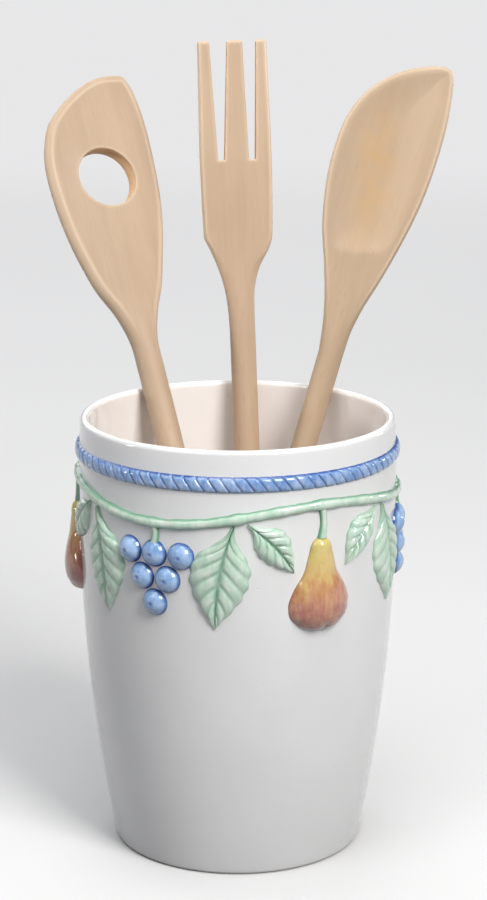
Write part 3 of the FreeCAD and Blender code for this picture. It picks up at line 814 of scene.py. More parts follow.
def grid_faces(rows, columns, start=0, flip=False):
    """Quads of a grid whose points are stored row after row."""
    faces = []
    for row in range(rows - 1):
        for column in range(columns - 1):
            corner = start + row * columns + column
            quad = (corner, corner + 1, corner + columns + 1, corner + columns)
            faces.append(quad[::-1] if flip else quad)
    return faces


def relief_mesh(name, along, height, lift, values, turned=False):
    """A closed skin from a grid over the wall. The back has the values of the front. Turned
    takes the columns from right to left, for a grid that would face inward."""
    if turned:
        along, height, lift = (grid[:, ::-1] for grid in (along, height, lift))
        values = {label: numbers[:, ::-1] for label, numbers in values.items()}
    rows, columns = lift.shape
    front = on_wall(along, height, lift).reshape(-1, 3)
    back = on_wall(along, height, np.full_like(lift, -BACK)).reshape(-1, 3)
    count = rows * columns
    faces = grid_faces(rows, columns) + grid_faces(rows, columns, count, flip=True)
    border = list(range(columns))
    border += [row * columns + columns - 1 for row in range(1, rows)]
    border += [(rows - 1) * columns + column for column in range(columns - 2, -1, -1)]
    border += [row * columns for row in range(rows - 2, 0, -1)]
    for here, following in zip(border, border[1:] + border[:1]):
        faces.append((following, here, count + here, count + following))
    both = {label: np.tile(numbers.ravel(), 2) for label, numbers in values.items()}
    mesh = make_mesh(name, np.vstack([front, back]), faces, both)
    mesh.set_sharp_from_angle(angle=END_ANGLE)
    return mesh


def place_relief(node_name, mesh, finish, slot):
    """Set a relief on the crock in the place of its solid."""
    return place_piece(f"{node_name}.relief", mesh, finish, slot, "crock", node_name)


print("backs lie", round(BACK, 4), "m inside the wall")

# %% [markdown]
# ### The vine
# The stem runs round the pot in a slow wave, three lengths end to end. A curve object with a
# round section would need its height set point by point on the tapering wall. As a grid over
# the wall, the stem keeps to it by itself, and its width can swell where leaves and fruit join.

# %% Vine's wave
REPEATS = 3
PITCH = 2 * math.pi * BELLY_RADIUS / REPEATS
VINE_DROP = 0.010
VINE_SWING = 0.0035
VINE_RADIUS = 0.0020
VINE_STAND = 0.0022


def vine_height(along):
    """Height of the vine's middle line."""
    drop = VINE_DROP + VINE_SWING * np.cos(2 * math.pi * along / PITCH)
    return ROPE_LEVEL - ROPE_WIDTH / 2 - drop


def dome(offset, half_width, stand):
    """Lift of a crowned section, an arc that is rooted inside the wall."""
    rise = stand + RELIEF_ROOT
    radius = (half_width ** 2 + rise ** 2) / (2 * rise)
    return np.sqrt(np.maximum(radius ** 2 - offset ** 2, 0)) - radius + stand


print("pattern repeats every", round(PITCH, 4), "m")

# %% Vines
VINE_ROWS = 260
STEM_COLUMNS = 15
JOINT_SPOTS = (0.25, 0.5, 0.75, 0.0, 1.0)
JOINT_REACH = 0.022
SLOW_WANDER = 0.10
SLOW_WAVES = 7
QUICK_WANDER = 0.07
QUICK_WAVES = 17
VINE_EDGE = (0.62, 0.3)
# Share of painted shade on the stem's lower side.
VINE_PAINTED_SHADE_BELOW = 0.45


def vine_mesh(index):
    """One length of the running stem, with swollen joints where leaves and fruit leave it."""
    along = np.linspace(0, PITCH, VINE_ROWS)[:, None]
    share = along / PITCH
    across = np.linspace(-1, 1, STEM_COLUMNS)[None, :]
    slope = np.gradient(vine_height(along[:, 0]), along[:, 0])[:, None]
    joints = sum(np.exp(-((share - spot) / JOINT_REACH) ** 2) for spot in JOINT_SPOTS)
    wander = SLOW_WANDER * np.sin(2 * math.pi * (SLOW_WAVES * share + 0.3 * index))
    wander = wander + QUICK_WANDER * np.sin(2 * QUICK_WAVES * share * math.pi)
    half_width = VINE_RADIUS * (0.96 + 0.16 * joints + 0.5 * wander)
    stand = VINE_STAND * (0.94 + 0.14 * joints + 0.6 * wander)
    offset = across * half_width
    turn = 1 / np.sqrt(1 + slope ** 2)
    path = along - slope * turn * offset
    height = vine_height(along) + turn * offset
    lift = dome(offset, half_width, stand)
    edge = ramp_up(np.abs(across), *VINE_EDGE)
    # Painted shade: the lower side of the stem takes the deep colour, besides the paint that pools
    # along its edges.
    pool_and_shade = np.maximum(edge, VINE_PAINTED_SHADE_BELOW * np.clip(-across, 0, 1)) * np.ones_like(path)
    return relief_mesh("vine", path + index * PITCH, height, lift, {"pool_and_shade": pool_and_shade}, turned=True)


for index in range(REPEATS):
    place_relief(f"vine_{index + 1}", vine_mesh(index), LEAF_GREEN, "leaf_green")
print("vines:", REPEATS)

# %% [markdown]
# ### Stalks
# Every fruit hangs on a short stalk that starts inside the vine and ends inside its fruit, so
# that neither end shows. It is a narrow grid with a slight bend, wider at both ends.

# %% Stalks
STEM_RADIUS = 0.0016
STALK_ROWS = 30
STALK_BEND = 0.0009
STALK_STAND = 1.05
STALK_EDGE = (0.5, 0.35)
PEAR_STEM_LENGTH = 0.0095
PEAR_STEM_SINK = 0.0012
BUNCH_STEM_LENGTH = 0.0042
BUNCH_STEM_SINK = 0.0022
SPRIG_GAP = 0.0003


def stalk_mesh(along_middle, top, bottom):
    """A short stalk that leaves the vine and widens into its fruit."""
    share = np.linspace(0, 1, STALK_ROWS)[:, None]
    across = np.linspace(-1, 1, STEM_COLUMNS)[None, :]
    half_width = STEM_RADIUS * (1.02 - 0.42 * share + 0.62 * share ** 3)
    offset = across * half_width
    bend = STALK_BEND * np.sin(math.pi * share)
    height = top + (bottom - top) * share + 0 * offset
    lift = dome(offset, half_width, half_width * STALK_STAND)
    pool_and_shade = ramp_up(np.abs(across), *STALK_EDGE) * np.ones_like(height)
    return relief_mesh("stalk", along_middle + bend - offset, height, lift, {"pool_and_shade": pool_and_shade})


def below_vine(along):
    """Where a stalk or leaf may start under the vine."""
    return float(vine_height(along)) - VINE_RADIUS - SPRIG_GAP


PEAR_TOP = below_vine(PITCH / 2) - PEAR_STEM_LENGTH
BUNCH_TOP = below_vine(0) - BUNCH_STEM_LENGTH
STALKS = (
    ("pear_stem", PITCH / 2, PEAR_TOP - PEAR_STEM_SINK),
    ("bunch_stem", 0, BUNCH_TOP - BUNCH_STEM_SINK),
)
for index in range(REPEATS):
    for name, along, bottom in STALKS:
        stalk = stalk_mesh(index * PITCH + along, float(vine_height(along)), bottom)
        place_relief(f"{name}_{index + 1}", stalk, LEAF_GREEN, "leaf_green")
print("stalks:", len(STALKS) * REPEATS)

# %% [markdown]
# ### Pears
# A pear's outline comes from the same short table as its solid. Across, it is an arc. The
# paint needs to know how far along the fruit a point lies, so that is stored as the blush.

# %% Curve through a table
def through_table(table, column, place):
    """A smooth curve through a column of a table whose first column is the place."""
    places = np.array([row[0] for row in table])
    heights = np.array([row[column] for row in table])
    slopes = np.gradient(heights, places)
    place = np.clip(place, places[0], places[-1])
    index = np.clip(np.searchsorted(places, place, side="right") - 1, 0, len(places) - 2)
    step = places[index + 1] - places[index]
    share = (place - places[index]) / step
    ease = share * share * (3 - 2 * share)
    lean_in = share * (1 - share) ** 2 * step * slopes[index]
    lean_out = share * share * (share - 1) * step * slopes[index + 1]
    return heights[index] * (1 - ease) + heights[index + 1] * ease + lean_in + lean_out


print("table helper ready")

# %% Pears
PEAR_LENGTH = 0.039
PEAR_WIDTH = 0.029
PEAR_STAND = 0.0068
PEAR_ROWS = 90
PEAR_COLUMNS = 61
# Shares of the length, the width and the stand, from the stalk down.
PEAR_SHARES = (
    (0.00, 0.05, 0.02),
    (0.06, 0.24, 0.36),
    (0.20, 0.40, 0.52),
    (0.38, 0.55, 0.66),
    (0.56, 0.86, 0.90),
    (0.73, 1.00, 1.00),
    (0.88, 0.84, 0.84),
    (0.96, 0.50, 0.50),
    (1.00, 0.06, 0.02),
)
CALYX_SPOT = 0.945
CALYX_REACH = 0.0017
CALYX_DEPTH = 0.0011
CALYX_PAINT = 0.9
PEAR_SIDE = (0.86, 0.12)
PEAR_SIDE_PAINT = 0.85
PEAR_BASE = (0.95, 0.05)


def pear_mesh(middle):
    """A pear hanging down from its stalk, with the dimple of its flower end."""
    share = (0.5 - 0.5 * np.cos(np.linspace(0, math.pi, PEAR_ROWS)))[:, None]
    across = crowded(PEAR_COLUMNS)
    half_width = PEAR_WIDTH / 2 * through_table(PEAR_SHARES, 1, share)
    stand = PEAR_STAND * through_table(PEAR_SHARES, 2, share)
    offset = across * half_width
    height = PEAR_TOP - PEAR_LENGTH * share + 0 * offset
    from_calyx = ((share - CALYX_SPOT) * PEAR_LENGTH) ** 2 + offset ** 2
    calyx = np.exp(-from_calyx / CALYX_REACH ** 2)
    lift = dome(offset, half_width, stand) - CALYX_DEPTH * calyx
    side = PEAR_SIDE_PAINT * ramp_up(np.abs(across), *PEAR_SIDE) ** 1.5
    pool_and_shade = np.clip(side + CALYX_PAINT * calyx, 0, 1)
    pool_and_shade = np.maximum(pool_and_shade, ramp_up(share, *PEAR_BASE))
    blush = np.clip((share - 0.08) * 1.10 - 0.10 * across + 0.12 * across ** 2, 0, 1)
    return relief_mesh("pear", middle - offset, height, lift, {"pool_and_shade": pool_and_shade, "blush": blush})


for index in range(REPEATS):
    pear = pear_mesh(index * PITCH + PITCH / 2)
    place_relief(f"pear_{index + 1}", pear, PEAR_GLAZE, "pear_glaze")
print("pears:", REPEATS)

# %% [markdown]
# ### Berries
# Each bunch is six balls sunk into the wall, three over two over one. A ball is a disc of
# rings lifted to a sphere. The paint pools where a ball meets the wall and in the small
# crown at its middle, and a painted shade darkens the lower side of each ball.

# %% One berry
BERRY_RADIUS = 0.0059
BERRY_SINK = 0.0020
BERRY_FOOTPRINT = math.sqrt(BERRY_RADIUS ** 2 - BERRY_SINK ** 2)
BERRY_RINGS = 22
BERRY_STEPS = 48
CROWN_RADIUS = 0.0011
CROWN_WIDTH = 0.0005
CROWN_RISE = 0.00022
CROWN_POINTS = 5
DIMPLE_RADIUS = 0.0007
DIMPLE_DEPTH = 0.0004
DIMPLE_PAINT = 0.75
DIMPLE_PAINT_RADIUS = 0.0009
BERRY_EDGE = (0.80, 0.17)
BERRY_PAINTED_SHADE_BELOW = 0.34


def berry_points(along_middle, height_middle, turn_start):
    """Points and paint of one berry, with painted shade on its lower side: a middle point, rings,
    and a point behind.
    """
    share = np.sin(np.linspace(0, math.pi / 2, BERRY_RINGS + 1))[1:, None]
    turn = np.linspace(0, 2 * math.pi, BERRY_STEPS, endpoint=False)[None, :] + turn_start
    reach = share * BERRY_FOOTPRINT
    crown = np.exp(-((reach - CROWN_RADIUS) / CROWN_WIDTH) ** 2)
    crown = crown * (0.75 + 0.25 * np.cos(CROWN_POINTS * turn))
    lift = np.sqrt(BERRY_RADIUS ** 2 - reach ** 2) - BERRY_SINK + CROWN_RISE * crown
    lift = lift - DIMPLE_DEPTH * np.exp(-(reach / DIMPLE_RADIUS) ** 2)
    lift[-1] = -RELIEF_ROOT
    skin = on_wall(along_middle + reach * np.cos(turn), height_middle + reach * np.sin(turn), lift)
    depths = np.array([BERRY_RADIUS - BERRY_SINK - DIMPLE_DEPTH, -BACK])
    middle, behind = on_wall(np.full(2, along_middle), np.full(2, height_middle), depths)
    edge = ramp_up(share, *BERRY_EDGE)
    # Painted shade: the lower side of each berry is darkened towards its rim.
    shade = BERRY_PAINTED_SHADE_BELOW * np.clip(-np.sin(turn), 0, 1) * share ** 2
    dimple = DIMPLE_PAINT * np.exp(-(reach / DIMPLE_PAINT_RADIUS) ** 2)
    pool_and_shade = np.clip(np.maximum(edge + shade, dimple), 0, 1)
    points = np.vstack([middle, skin.reshape(-1, 3), behind])
    return points, np.concatenate([[DIMPLE_PAINT], pool_and_shade.ravel(), [1.0]])


def berry_faces(start):
    """Faces of one berry whose points begin at a number."""
    first = start + 1
    behind = first + BERRY_RINGS * BERRY_STEPS
    last = behind - BERRY_STEPS
    rings = loop_faces(BERRY_RINGS, BERRY_STEPS)
    faces = [tuple(first + corner for corner in face[::-1]) for face in rings]
    for step in range(BERRY_STEPS):
        following = (step + 1) % BERRY_STEPS
        faces.append((first + step, first + following, start))
        faces.append((behind, last + following, last + step))
    return faces


print("faces of a berry:", len(berry_faces(0)))

# %% Berries
BERRY_ROWS = (3, 2, 1)
# How far the crown of a berry is turned against the next row and the next berry.
ROW_TURN = 1.7
BERRY_TURN = 0.9


def bunch_mesh(index):
    """Six berries as one piece."""
    pitch = 2 * BERRY_FOOTPRINT + SPRIG_GAP
    first = BUNCH_TOP - SPRIG_GAP - BERRY_FOOTPRINT
    points, pools, faces = [], [], []
    for row, count in enumerate(BERRY_ROWS):
        height = first - row * pitch * math.cos(math.pi / 6)
        for column in range(count):
            along = index * PITCH + (column - (count - 1) / 2) * pitch
            faces += berry_faces(sum(len(group) for group in points))
            skin, pool_and_shade = berry_points(along, height, ROW_TURN * row + BERRY_TURN * column)
            points.append(skin)
            pools.append(pool_and_shade)
    return make_mesh("bunch", np.vstack(points), faces, {"pool_and_shade": np.concatenate(pools)})


for index in range(REPEATS):
    place_relief(f"bunch_{index + 1}", bunch_mesh(index), BERRY_BLUE, "berry_blue")
print("bunches:", REPEATS)

# %% [markdown]
# ### Leaves
# A leaf swells on both sides of its rib, and its side veins press shallow grooves into it, so
# it looks quilted. The edge is softly toothed. The grooves are formulas in two leaf directions,
# along the rib and across it, and the green pools in them.

# %% Leaf sizes
LEAF_STAND = 0.0029
LEAF_ROWS = 110
LEAF_COLUMNS = 61
# Shares of the length, the width and the stand, from the stalk to the tip.
LEAF_SHARES = (
    (0.00, 0.06, 0.40),
    (0.10, 0.17, 0.58),
    (0.20, 0.46, 0.76),
    (0.33, 0.87, 0.92),
    (0.48, 1.00, 1.00),
    (0.64, 0.88, 0.98),
    (0.79, 0.58, 0.86),
    (0.91, 0.25, 0.62),
    (1.00, 0.02, 0.20),
)
LEAVES = {
    "long": {"length": 0.042, "width": 0.025, "heading": 10, "offset": 0.0015, "veins": 7},
    "short": {"length": 0.027, "width": 0.0145, "heading": 42, "offset": 0.004, "veins": 6},
}
VEIN_LEAN = 0.24
TOOTH = 0.035
RIB_WIDTH = 0.085
VEIN_WIDTH = 0.15
RIB_DEPTH = 0.34
VEIN_DEPTH = 0.20
LEAF_SWAY = 0.05
RIB_PAINT = 0.80
VEIN_PAINT = 0.62
LEAF_EDGE = (0.84, 0.14)
LEAF_EDGE_PAINT = 0.70
STALK_END_PAINT = 0.35
print("leaf points:", LEAF_ROWS * LEAF_COLUMNS)

# %% Leaf shape
def leaf_mesh(kind, lean, along_start, start):
    """One leaf. Lean is 1 when it points to the right of the wall and -1 to the left."""
    leaf = LEAVES[kind]
    share = np.linspace(0, 1, LEAF_ROWS)[:, None]
    across = crowded(LEAF_COLUMNS)
    off_rib = np.abs(across)
    vein = (share - VEIN_LEAN * off_rib) * leaf["veins"] + 0.25 * (across > 0)
    near_vein = np.abs(vein - np.floor(vein + 0.5))
    teeth = 1 + TOOTH * np.cos(2 * math.pi * (vein - 0.5)) * np.clip(share * 5 - 0.6, 0, 1)
    half_width = leaf["width"] / 2 * np.maximum(through_table(LEAF_SHARES, 1, share), 0.02)
    stand = LEAF_STAND * through_table(LEAF_SHARES, 2, share)
    rib_groove = np.exp(-(off_rib / RIB_WIDTH) ** 2)
    side_groove = np.exp(-(near_vein / VEIN_WIDTH) ** 2) * np.clip(1.15 - off_rib, 0, 1)
    swell = (1 - off_rib ** 4.5) ** 0.8 * (0.84 + 0.16 * np.sin(math.pi * off_rib))
    quilt = 1 - RIB_DEPTH * rib_groove - VEIN_DEPTH * side_groove * (1 - rib_groove)
    lift = (stand + RELIEF_ROOT) * swell * quilt - RELIEF_ROOT
    heading = lean * math.radians(leaf["heading"])
    ahead = leaf["length"] * share
    sway = lean * LEAF_SWAY * leaf["length"] * np.sin(math.pi * share)
    aside = across * half_width * teeth + sway
    path = along_start + math.sin(heading) * ahead + math.cos(heading) * aside
    height = start - math.cos(heading) * ahead + math.sin(heading) * aside
    edge = LEAF_EDGE_PAINT * ramp_up(off_rib, *LEAF_EDGE)
    pool_and_shade = np.maximum(np.maximum(RIB_PAINT * rib_groove, VEIN_PAINT * side_groove), edge)
    pool_and_shade = np.clip(pool_and_shade + STALK_END_PAINT * np.clip(1 - share * 4, 0, 1), 0, 1)
    return relief_mesh("leaf", path, height, lift, {"pool_and_shade": pool_and_shade}, turned=True)


print("kinds of leaf:", ", ".join(LEAVES))

# %% Leaves
LEAF_GAP = 0.0008
# Each sprig has a long leaf that points away from the pear and a short one towards it.
SPRIGS = [
    (kind, lean, spot + lean * LEAVES[kind]["offset"])
    for spot, towards_pear in ((PITCH / 4, 1), (3 * PITCH / 4, -1))
    for kind, lean in (("long", -towards_pear), ("short", towards_pear))
]
for index in range(REPEATS):
    for order, (kind, lean, along) in enumerate(SPRIGS):
        start = below_vine(along) + SPRIG_GAP - LEAF_GAP
        leaf = leaf_mesh(kind, lean, index * PITCH + along, start)
        number = index * len(SPRIGS) + order + 1
        place_relief(f"leaf_{number}", leaf, LEAF_GREEN, "leaf_green")
print("leaves:", len(SPRIGS) * REPEATS)

# %% [markdown]
# ## The wooden tools
# Each tool is carved from one stick: a round handle with a domed end that flattens into its
# head. A loft does that. At every level the section is four arcs, two crowned faces and two
# rounded edges, and tables say how far each edge has opened. The sections are worked out in
# the tool's own coordinates, and a matrix then stands the tool in the crock.

# %% Tool sizes
# A row of shares is a place along the head, then how far its left and right edge has opened.
TOOLS = {
    "spatula": {
        "length": 0.3356, "handle": 0.203, "radius": 0.0056, "width": 0.0512, "tip_width": 0.0512,
        "front": 0.0041, "back": 0.0041, "tip": 0.0027, "edge": 0.84, "back_edge": 0.84,
        "round": 0.0026, "neck_round": 0.0, "foot": (0.012, -0.037), "roll": 30,
        "shares": (
            (0.00, 0.00, 0.00), (0.10, 0.03, 0.02), (0.19, 0.215, 0.195), (0.28, 0.53, 0.45),
            (0.36, 0.71, 0.615), (0.46, 0.875, 0.797), (0.58, 0.985, 0.937), (0.66, 1.01, 0.982),
            (0.71, 0.995, 1.00), (0.75, 0.953, 1.01), (0.79, 0.873, 1.015), (0.83, 0.765, 1.01),
            (0.86, 0.645, 1.00), (0.8825, 0.512, 0.985), (0.905, 0.36, 0.966),
            (0.9275, 0.186, 0.94), (0.9425, 0.044, 0.918), (0.958, -0.105, 0.89),
            (0.969, -0.223, 0.862), (0.98, -0.36, 0.83), (0.988, -0.485, 0.80),
            (0.9955, -0.645, 0.76), (1.00, -0.82, 0.73),
        ),
    },
    "fork": {
        "length": 0.3166, "handle": 0.194, "radius": 0.0054, "width": 0.0298, "tip_width": 0.0288,
        "front": 0.0037, "back": 0.0037, "tip": 0.0027, "edge": 0.90, "back_edge": 0.90,
        "round": 0.0010, "neck_round": 0.0016, "foot": (0.009, 0.031), "roll": 5,
        "shares": (
            (0.000, 0.00, 0.00), (0.083, 0.05, 0.00), (0.165, 0.20, 0.07), (0.231, 0.45, 0.32),
            (0.294, 0.78, 0.77), (0.324, 0.965, 0.893), (0.329, 0.993, 0.908),
            (0.336, 1.003, 0.915), (0.40, 1.03, 0.95), (0.53, 1.06, 0.99), (1.00, 1.05, 0.99),
        ),
    },
    "spoon": {
        "length": 0.3229, "handle": 0.196, "radius": 0.0052, "width": 0.043, "tip_width": 0.043,
        "front": 0.0034, "back": 0.0062, "tip": 0.0025, "edge": 0.88, "back_edge": 0.38,
        "round": 0.0011, "neck_round": 0.0, "foot": (-0.014, 0.015), "roll": -4,
        "shares": (
            (0.00, 0.00, 0.00), (0.087, 0.098, 0.03), (0.16, 0.22, 0.135), (0.27, 0.475, 0.375),
            (0.39, 0.80, 0.605), (0.52, 1.01, 0.80), (0.65, 1.077, 0.897), (0.77, 0.97, 0.911),
            (0.835, 0.775, 0.888), (0.867, 0.625, 0.864), (0.898, 0.425, 0.834),
            (0.922, 0.235, 0.808), (0.9456, 0.00, 0.775), (0.9614, -0.20, 0.75),
            (0.9771, -0.45, 0.712), (0.985, -0.60, 0.682), (0.9929, -0.77, 0.635),
            (1.00, -0.955, 0.55),
        ),
    },
}
print("tools:", ", ".join(TOOLS))

# %% Sizes of a section
ROUND_SHARE = math.sin(math.pi / 4)
NECK_BLEND = 0.30
NECK_MIDDLE = 0.20
NECK_REACH = 0.09
TIP_BLEND = 0.55


def ease(start, finish, share):
    """Ease from one size to another."""
    share = min(max(share, 0), 1)
    return start + (finish - start) * share * share * (3 - 2 * share)


def along_head(tool, level):
    """How far along the head a level lies, from 0 at the handle to 1 at the tip."""
    return (level - tool["handle"]) / (tool["length"] - tool["handle"])


def section_sizes(tool, level):
    """Left, right, front and back of a tool's section, and how far its corners stand out."""
    along = along_head(tool, level)
    neck = along / NECK_BLEND
    fall = (along - TIP_BLEND) / (1 - TIP_BLEND)
    radius = tool["radius"]
    front = ease(ease(radius, tool["front"], neck), tool["tip"], fall)
    back = ease(ease(radius, tool["back"], neck), tool["tip"], fall)
    front_edge = front * ease(ROUND_SHARE, tool["edge"], neck)
    back_edge = back * ease(ROUND_SHARE, ease(tool["back_edge"], tool["edge"], fall), neck)
    half_width = ease(tool["width"], tool["tip_width"], fall) / 2
    left = radius + (half_width - radius) * float(through_table(tool["shares"], 1, along))
    right = radius + (half_width - radius) * float(through_table(tool["shares"], 2, along))
    return left, right, front, back, front_edge, back_edge


def edge_round(tool, level):
    """How far the rounded edges reach into the faces at a level."""
    along = along_head(tool, level)
    reach = ease(tool["radius"] * (1 - ROUND_SHARE), tool["round"], along / NECK_BLEND)
    return reach + tool["neck_round"] * math.exp(-((along - NECK_MIDDLE) / NECK_REACH) ** 2)


print("edges of the spoon's head reach", round(edge_round(TOOLS["spoon"], 0.32), 5), "m in")

# %% Sections of a tool
FACE_STEPS = 44
SIDE_STEPS = 10


def arc_points(first, middle, last, steps):
    """Points on the circle through three points of a section, without the last one."""
    first, middle, last = complex(*first), complex(*middle), complex(*last)
    ratio = (last - first) / (middle - first)
    centre = first - (first - middle) * (ratio - abs(ratio) ** 2) / (2j * ratio.imag)
    begin = np.angle(first - centre)
    sweep = np.angle((middle - centre) / (first - centre))
    sweep = sweep + np.angle((last - centre) / (middle - centre))
    turns = begin + sweep * np.arange(steps) / steps
    ring = centre + abs(first - centre) * np.exp(1j * turns)
    return np.stack([ring.real, ring.imag], axis=1)


def section_ring(tool, level, inset=0.0):
    """The four arcs of a section at a level, drawn in by an inset near the tip."""
    left, right, front, back, front_edge, back_edge = section_sizes(tool, level)
    left, right = left - inset, right - inset
    front, back = front - inset, back - inset
    front_edge = front_edge * (1 - inset / (front + inset))
    back_edge = back_edge * (1 - inset / (back + inset))
    bevel = edge_round(tool, level)
    middle = (right - left) / 2
    front_left, front_right = (-left + bevel, -front_edge), (right - bevel, -front_edge)
    back_left, back_right = (-left + bevel, back_edge), (right - bevel, back_edge)
    ring = np.vstack([
        arc_points(front_left, (middle, -front), front_right, FACE_STEPS),
        arc_points(front_right, (right, 0), back_right, SIDE_STEPS),
        arc_points(back_right, (middle, back), back_left, FACE_STEPS),
        arc_points(back_left, (-left, 0), front_left, SIDE_STEPS),
    ])
    return np.column_stack([ring, np.full(len(ring), level)])


print("section points:", 2 * (FACE_STEPS + SIDE_STEPS))

# %% Loft of a tool
TIP_ROUND = 0.0012
END_RINGS = 10
HANDLE_RINGS = 30
HEAD_RINGS = 150
TIP_RINGS = 10
# Rings crowd towards the tip, where the edge runs almost level.
CROWDING = 1.6


def tool_points(tool):
    """Rings of a tool from its domed end to its tip, with the tip's edge rounded."""
    radius = tool["radius"]
    rings = []
    for angle in np.linspace(0, math.pi / 2, END_RINGS + 1)[1:]:
        ring = section_ring(tool, 0.0)
        ring[:, :2] *= math.sin(angle)
        ring[:, 2] = radius * (1 - math.cos(angle))
        rings.append(ring)
    for level in np.linspace(radius, tool["handle"], HANDLE_RINGS)[1:]:
        rings.append(section_ring(tool, level))
    head = tool["length"] - TIP_ROUND - tool["handle"]
    for share in np.linspace(0, 1, HEAD_RINGS)[1:]:
        rings.append(section_ring(tool, tool["handle"] + head * (1 - (1 - share) ** CROWDING)))
    for angle in np.linspace(0, math.pi / 2, TIP_RINGS)[1:]:
        level = tool["length"] - TIP_ROUND * (1 - math.sin(angle))
        rings.append(section_ring(tool, level, TIP_ROUND * (1 - math.cos(angle))))
    return np.array(rings)


def tool_blank(name, rings):
    """A tool's mesh in its own coordinates."""
    tip_middle = rings[-1].mean(axis=0)
    points = np.vstack([rings.reshape(-1, 3), [(0, 0, 0)], [tip_middle]])
    return make_mesh(name, points, capped_faces(*rings.shape[:2]))


print("rings of each tool:", len(tool_points(TOOLS["spoon"])))

# %% [markdown]
# ### Cutting the hole and the slots
# The spatula's hole and the fork's slots are drilled and sawn, then sanded, so their rims are
# eased. A Boolean modifier cuts them. The cutter flares where it leaves the wood, and that
# leaves a small rounded rim instead of a knife edge. The modifier is applied at once, because
# the finished piece is a plain mesh.

# %% Cutter
RIM_FLARE = 0.0004
RIM_MARGIN = 0.004
OUTER_FLARE = 2.6
# How far each layer of a cutter lies inside the wood's face, and how many flares wide it is.
FLARE_LAYERS = ((0.0, 1.0), (0.35 * RIM_FLARE, 0.42), (RIM_FLARE, 0.0))


def cutter_mesh(outline, half_thickness):
    """A closed cutter through the wood. The outline is pairs of across and level, turning left,
    and half_thickness gives the wood's half thickness at each of them."""
    outline = np.array(outline)
    ahead = np.roll(outline, -1, axis=0) - np.roll(outline, 1, axis=0)
    outward = np.stack([ahead[:, 1], -ahead[:, 0]], axis=1)
    outward /= np.linalg.norm(outward, axis=1)[:, None]
    layers = [(np.full(len(outline), half_thickness.max() + RIM_MARGIN), OUTER_FLARE)]
    layers += [(half_thickness - depth, flare) for depth, flare in FLARE_LAYERS]
    sides = [(-1, layer) for layer in layers] + [(1, layer) for layer in layers[::-1]]
    rings = []
    for side, (depth, flare) in sides:
        spread = outline + outward * RIM_FLARE * flare
        rings.append(np.column_stack([spread[:, 0], side * depth, spread[:, 1]]))
    rings = np.array(rings)
    rows, columns = rings.shape[:2]
    faces = [face[::-1] for face in loop_faces(rows, columns)]
    faces.append(tuple(range(columns)))
    faces.append(tuple(range((rows - 1) * columns, rows * columns))[::-1])
    return make_mesh("cutter", rings.reshape(-1, 3), faces)


print("layers of a cutter:", 2 * (1 + len(FLARE_LAYERS)))

# %% Boolean cut
def cut(mesh, cutters):
    """Apply Boolean cuts to a mesh and give the new mesh."""
    wood = bpy.data.objects.new("wood", mesh)
    scene.collection.objects.link(wood)
    spares = [wood]
    for cutter in cutters:
        tool = bpy.data.objects.new("cutter", cutter)
        scene.collection.objects.link(tool)
        spares.append(tool)
        step = wood.modifiers.new("cut", "BOOLEAN")
        step.operation = "DIFFERENCE"
        step.solver = "MANIFOLD"
        step.object = tool
    bpy.context.view_layer.update()
    seen = wood.evaluated_get(bpy.context.evaluated_depsgraph_get())
    carved = bpy.data.meshes.new_from_object(seen)
    for spare in spares:
        bpy.data.objects.remove(spare)
    return carved


def face_half(tool, across, level):
    """Half thickness of a flat tool at a point of its face."""
    left, right, front, _, front_edge, _ = section_sizes(tool, level)
    middle = (right - left) / 2
    reach = (right + left) / 2
    return front - (front - front_edge) * ((across - middle) / reach) ** 2


def cut_head(name, outlines):
    """A tool's blank with openings cut through its head."""
    tool = TOOLS[name]
    cutters = []
    for outline in outlines:
        thickness = np.array([face_half(tool, across, level) for across, level in outline])
        cutters.append(cutter_mesh(outline, thickness))
    return cut(tool_blank(name, tool_points(tool)), cutters)


print("half thickness of the fork's head:", round(face_half(TOOLS["fork"], 0, 0.26), 5), "m")

# %% [markdown]
# ### Edges of a tool
# The edges of a head are painted paler than its faces, partly as the rubbing of sanding and
# use and partly as painted highlight, and the side walls are painted lighter as painted light.
# The walls of the openings get a lighter, warmer orange: the tone of sawn end grain, and
# painted light on walls that lie in shade. A shader that finds edges by their curve depends on
# how fine the mesh is, so the distance from the outline is measured here and stored in the mesh.

# %% Outline of a head
OUTLINE_STEPS = 400
TIP_STEPS = 16


def head_outline(tool):
    """Pairs of across and level along the edge of a tool's head."""
    levels = np.linspace(tool["handle"], tool["length"], OUTLINE_STEPS)
    sides = np.array([section_sizes(tool, level)[:2] for level in levels])
    top = np.linspace(-sides[-1, 0], sides[-1, 1], TIP_STEPS)
    return np.vstack([
        np.column_stack([-sides[:, 0], levels]),
        np.column_stack([top, np.full(len(top), tool["length"])]),
        np.column_stack([sides[::-1, 1], levels[::-1]]),
    ])


def distance_from(outline, across, level):
    """Distance of each point of a face from an outline."""
    tree = KDTree(len(outline))
    for index, (side, height) in enumerate(outline):
        tree.insert((side, 0, height), index)
    tree.balance()
    return np.array([tree.find((side, 0, height))[2] for side, height in zip(across, level)])


print("points on the edge of a head:", len(head_outline(TOOLS["spoon"])))

# %% Pale edges: sanding and painted highlight
PALE_LINE_REACH = 0.0011
PALE_EDGE_START = 0.012
PALE_EDGE_RISE = 0.03
# Side walls are painted lighter as painted light.
SIDE_PAINTED_LIGHT = 0.4
RIM_PALE_LINE_AND_HIGHLIGHT = 0.8
WALL_REACH = 0.00015
SAWN_SHARE = 0.85


def edge_line(apart, middle):
    """A soft line at a distance from an outline."""
    return np.clip(1 - np.abs(apart - middle) / PALE_LINE_REACH, 0, 1)


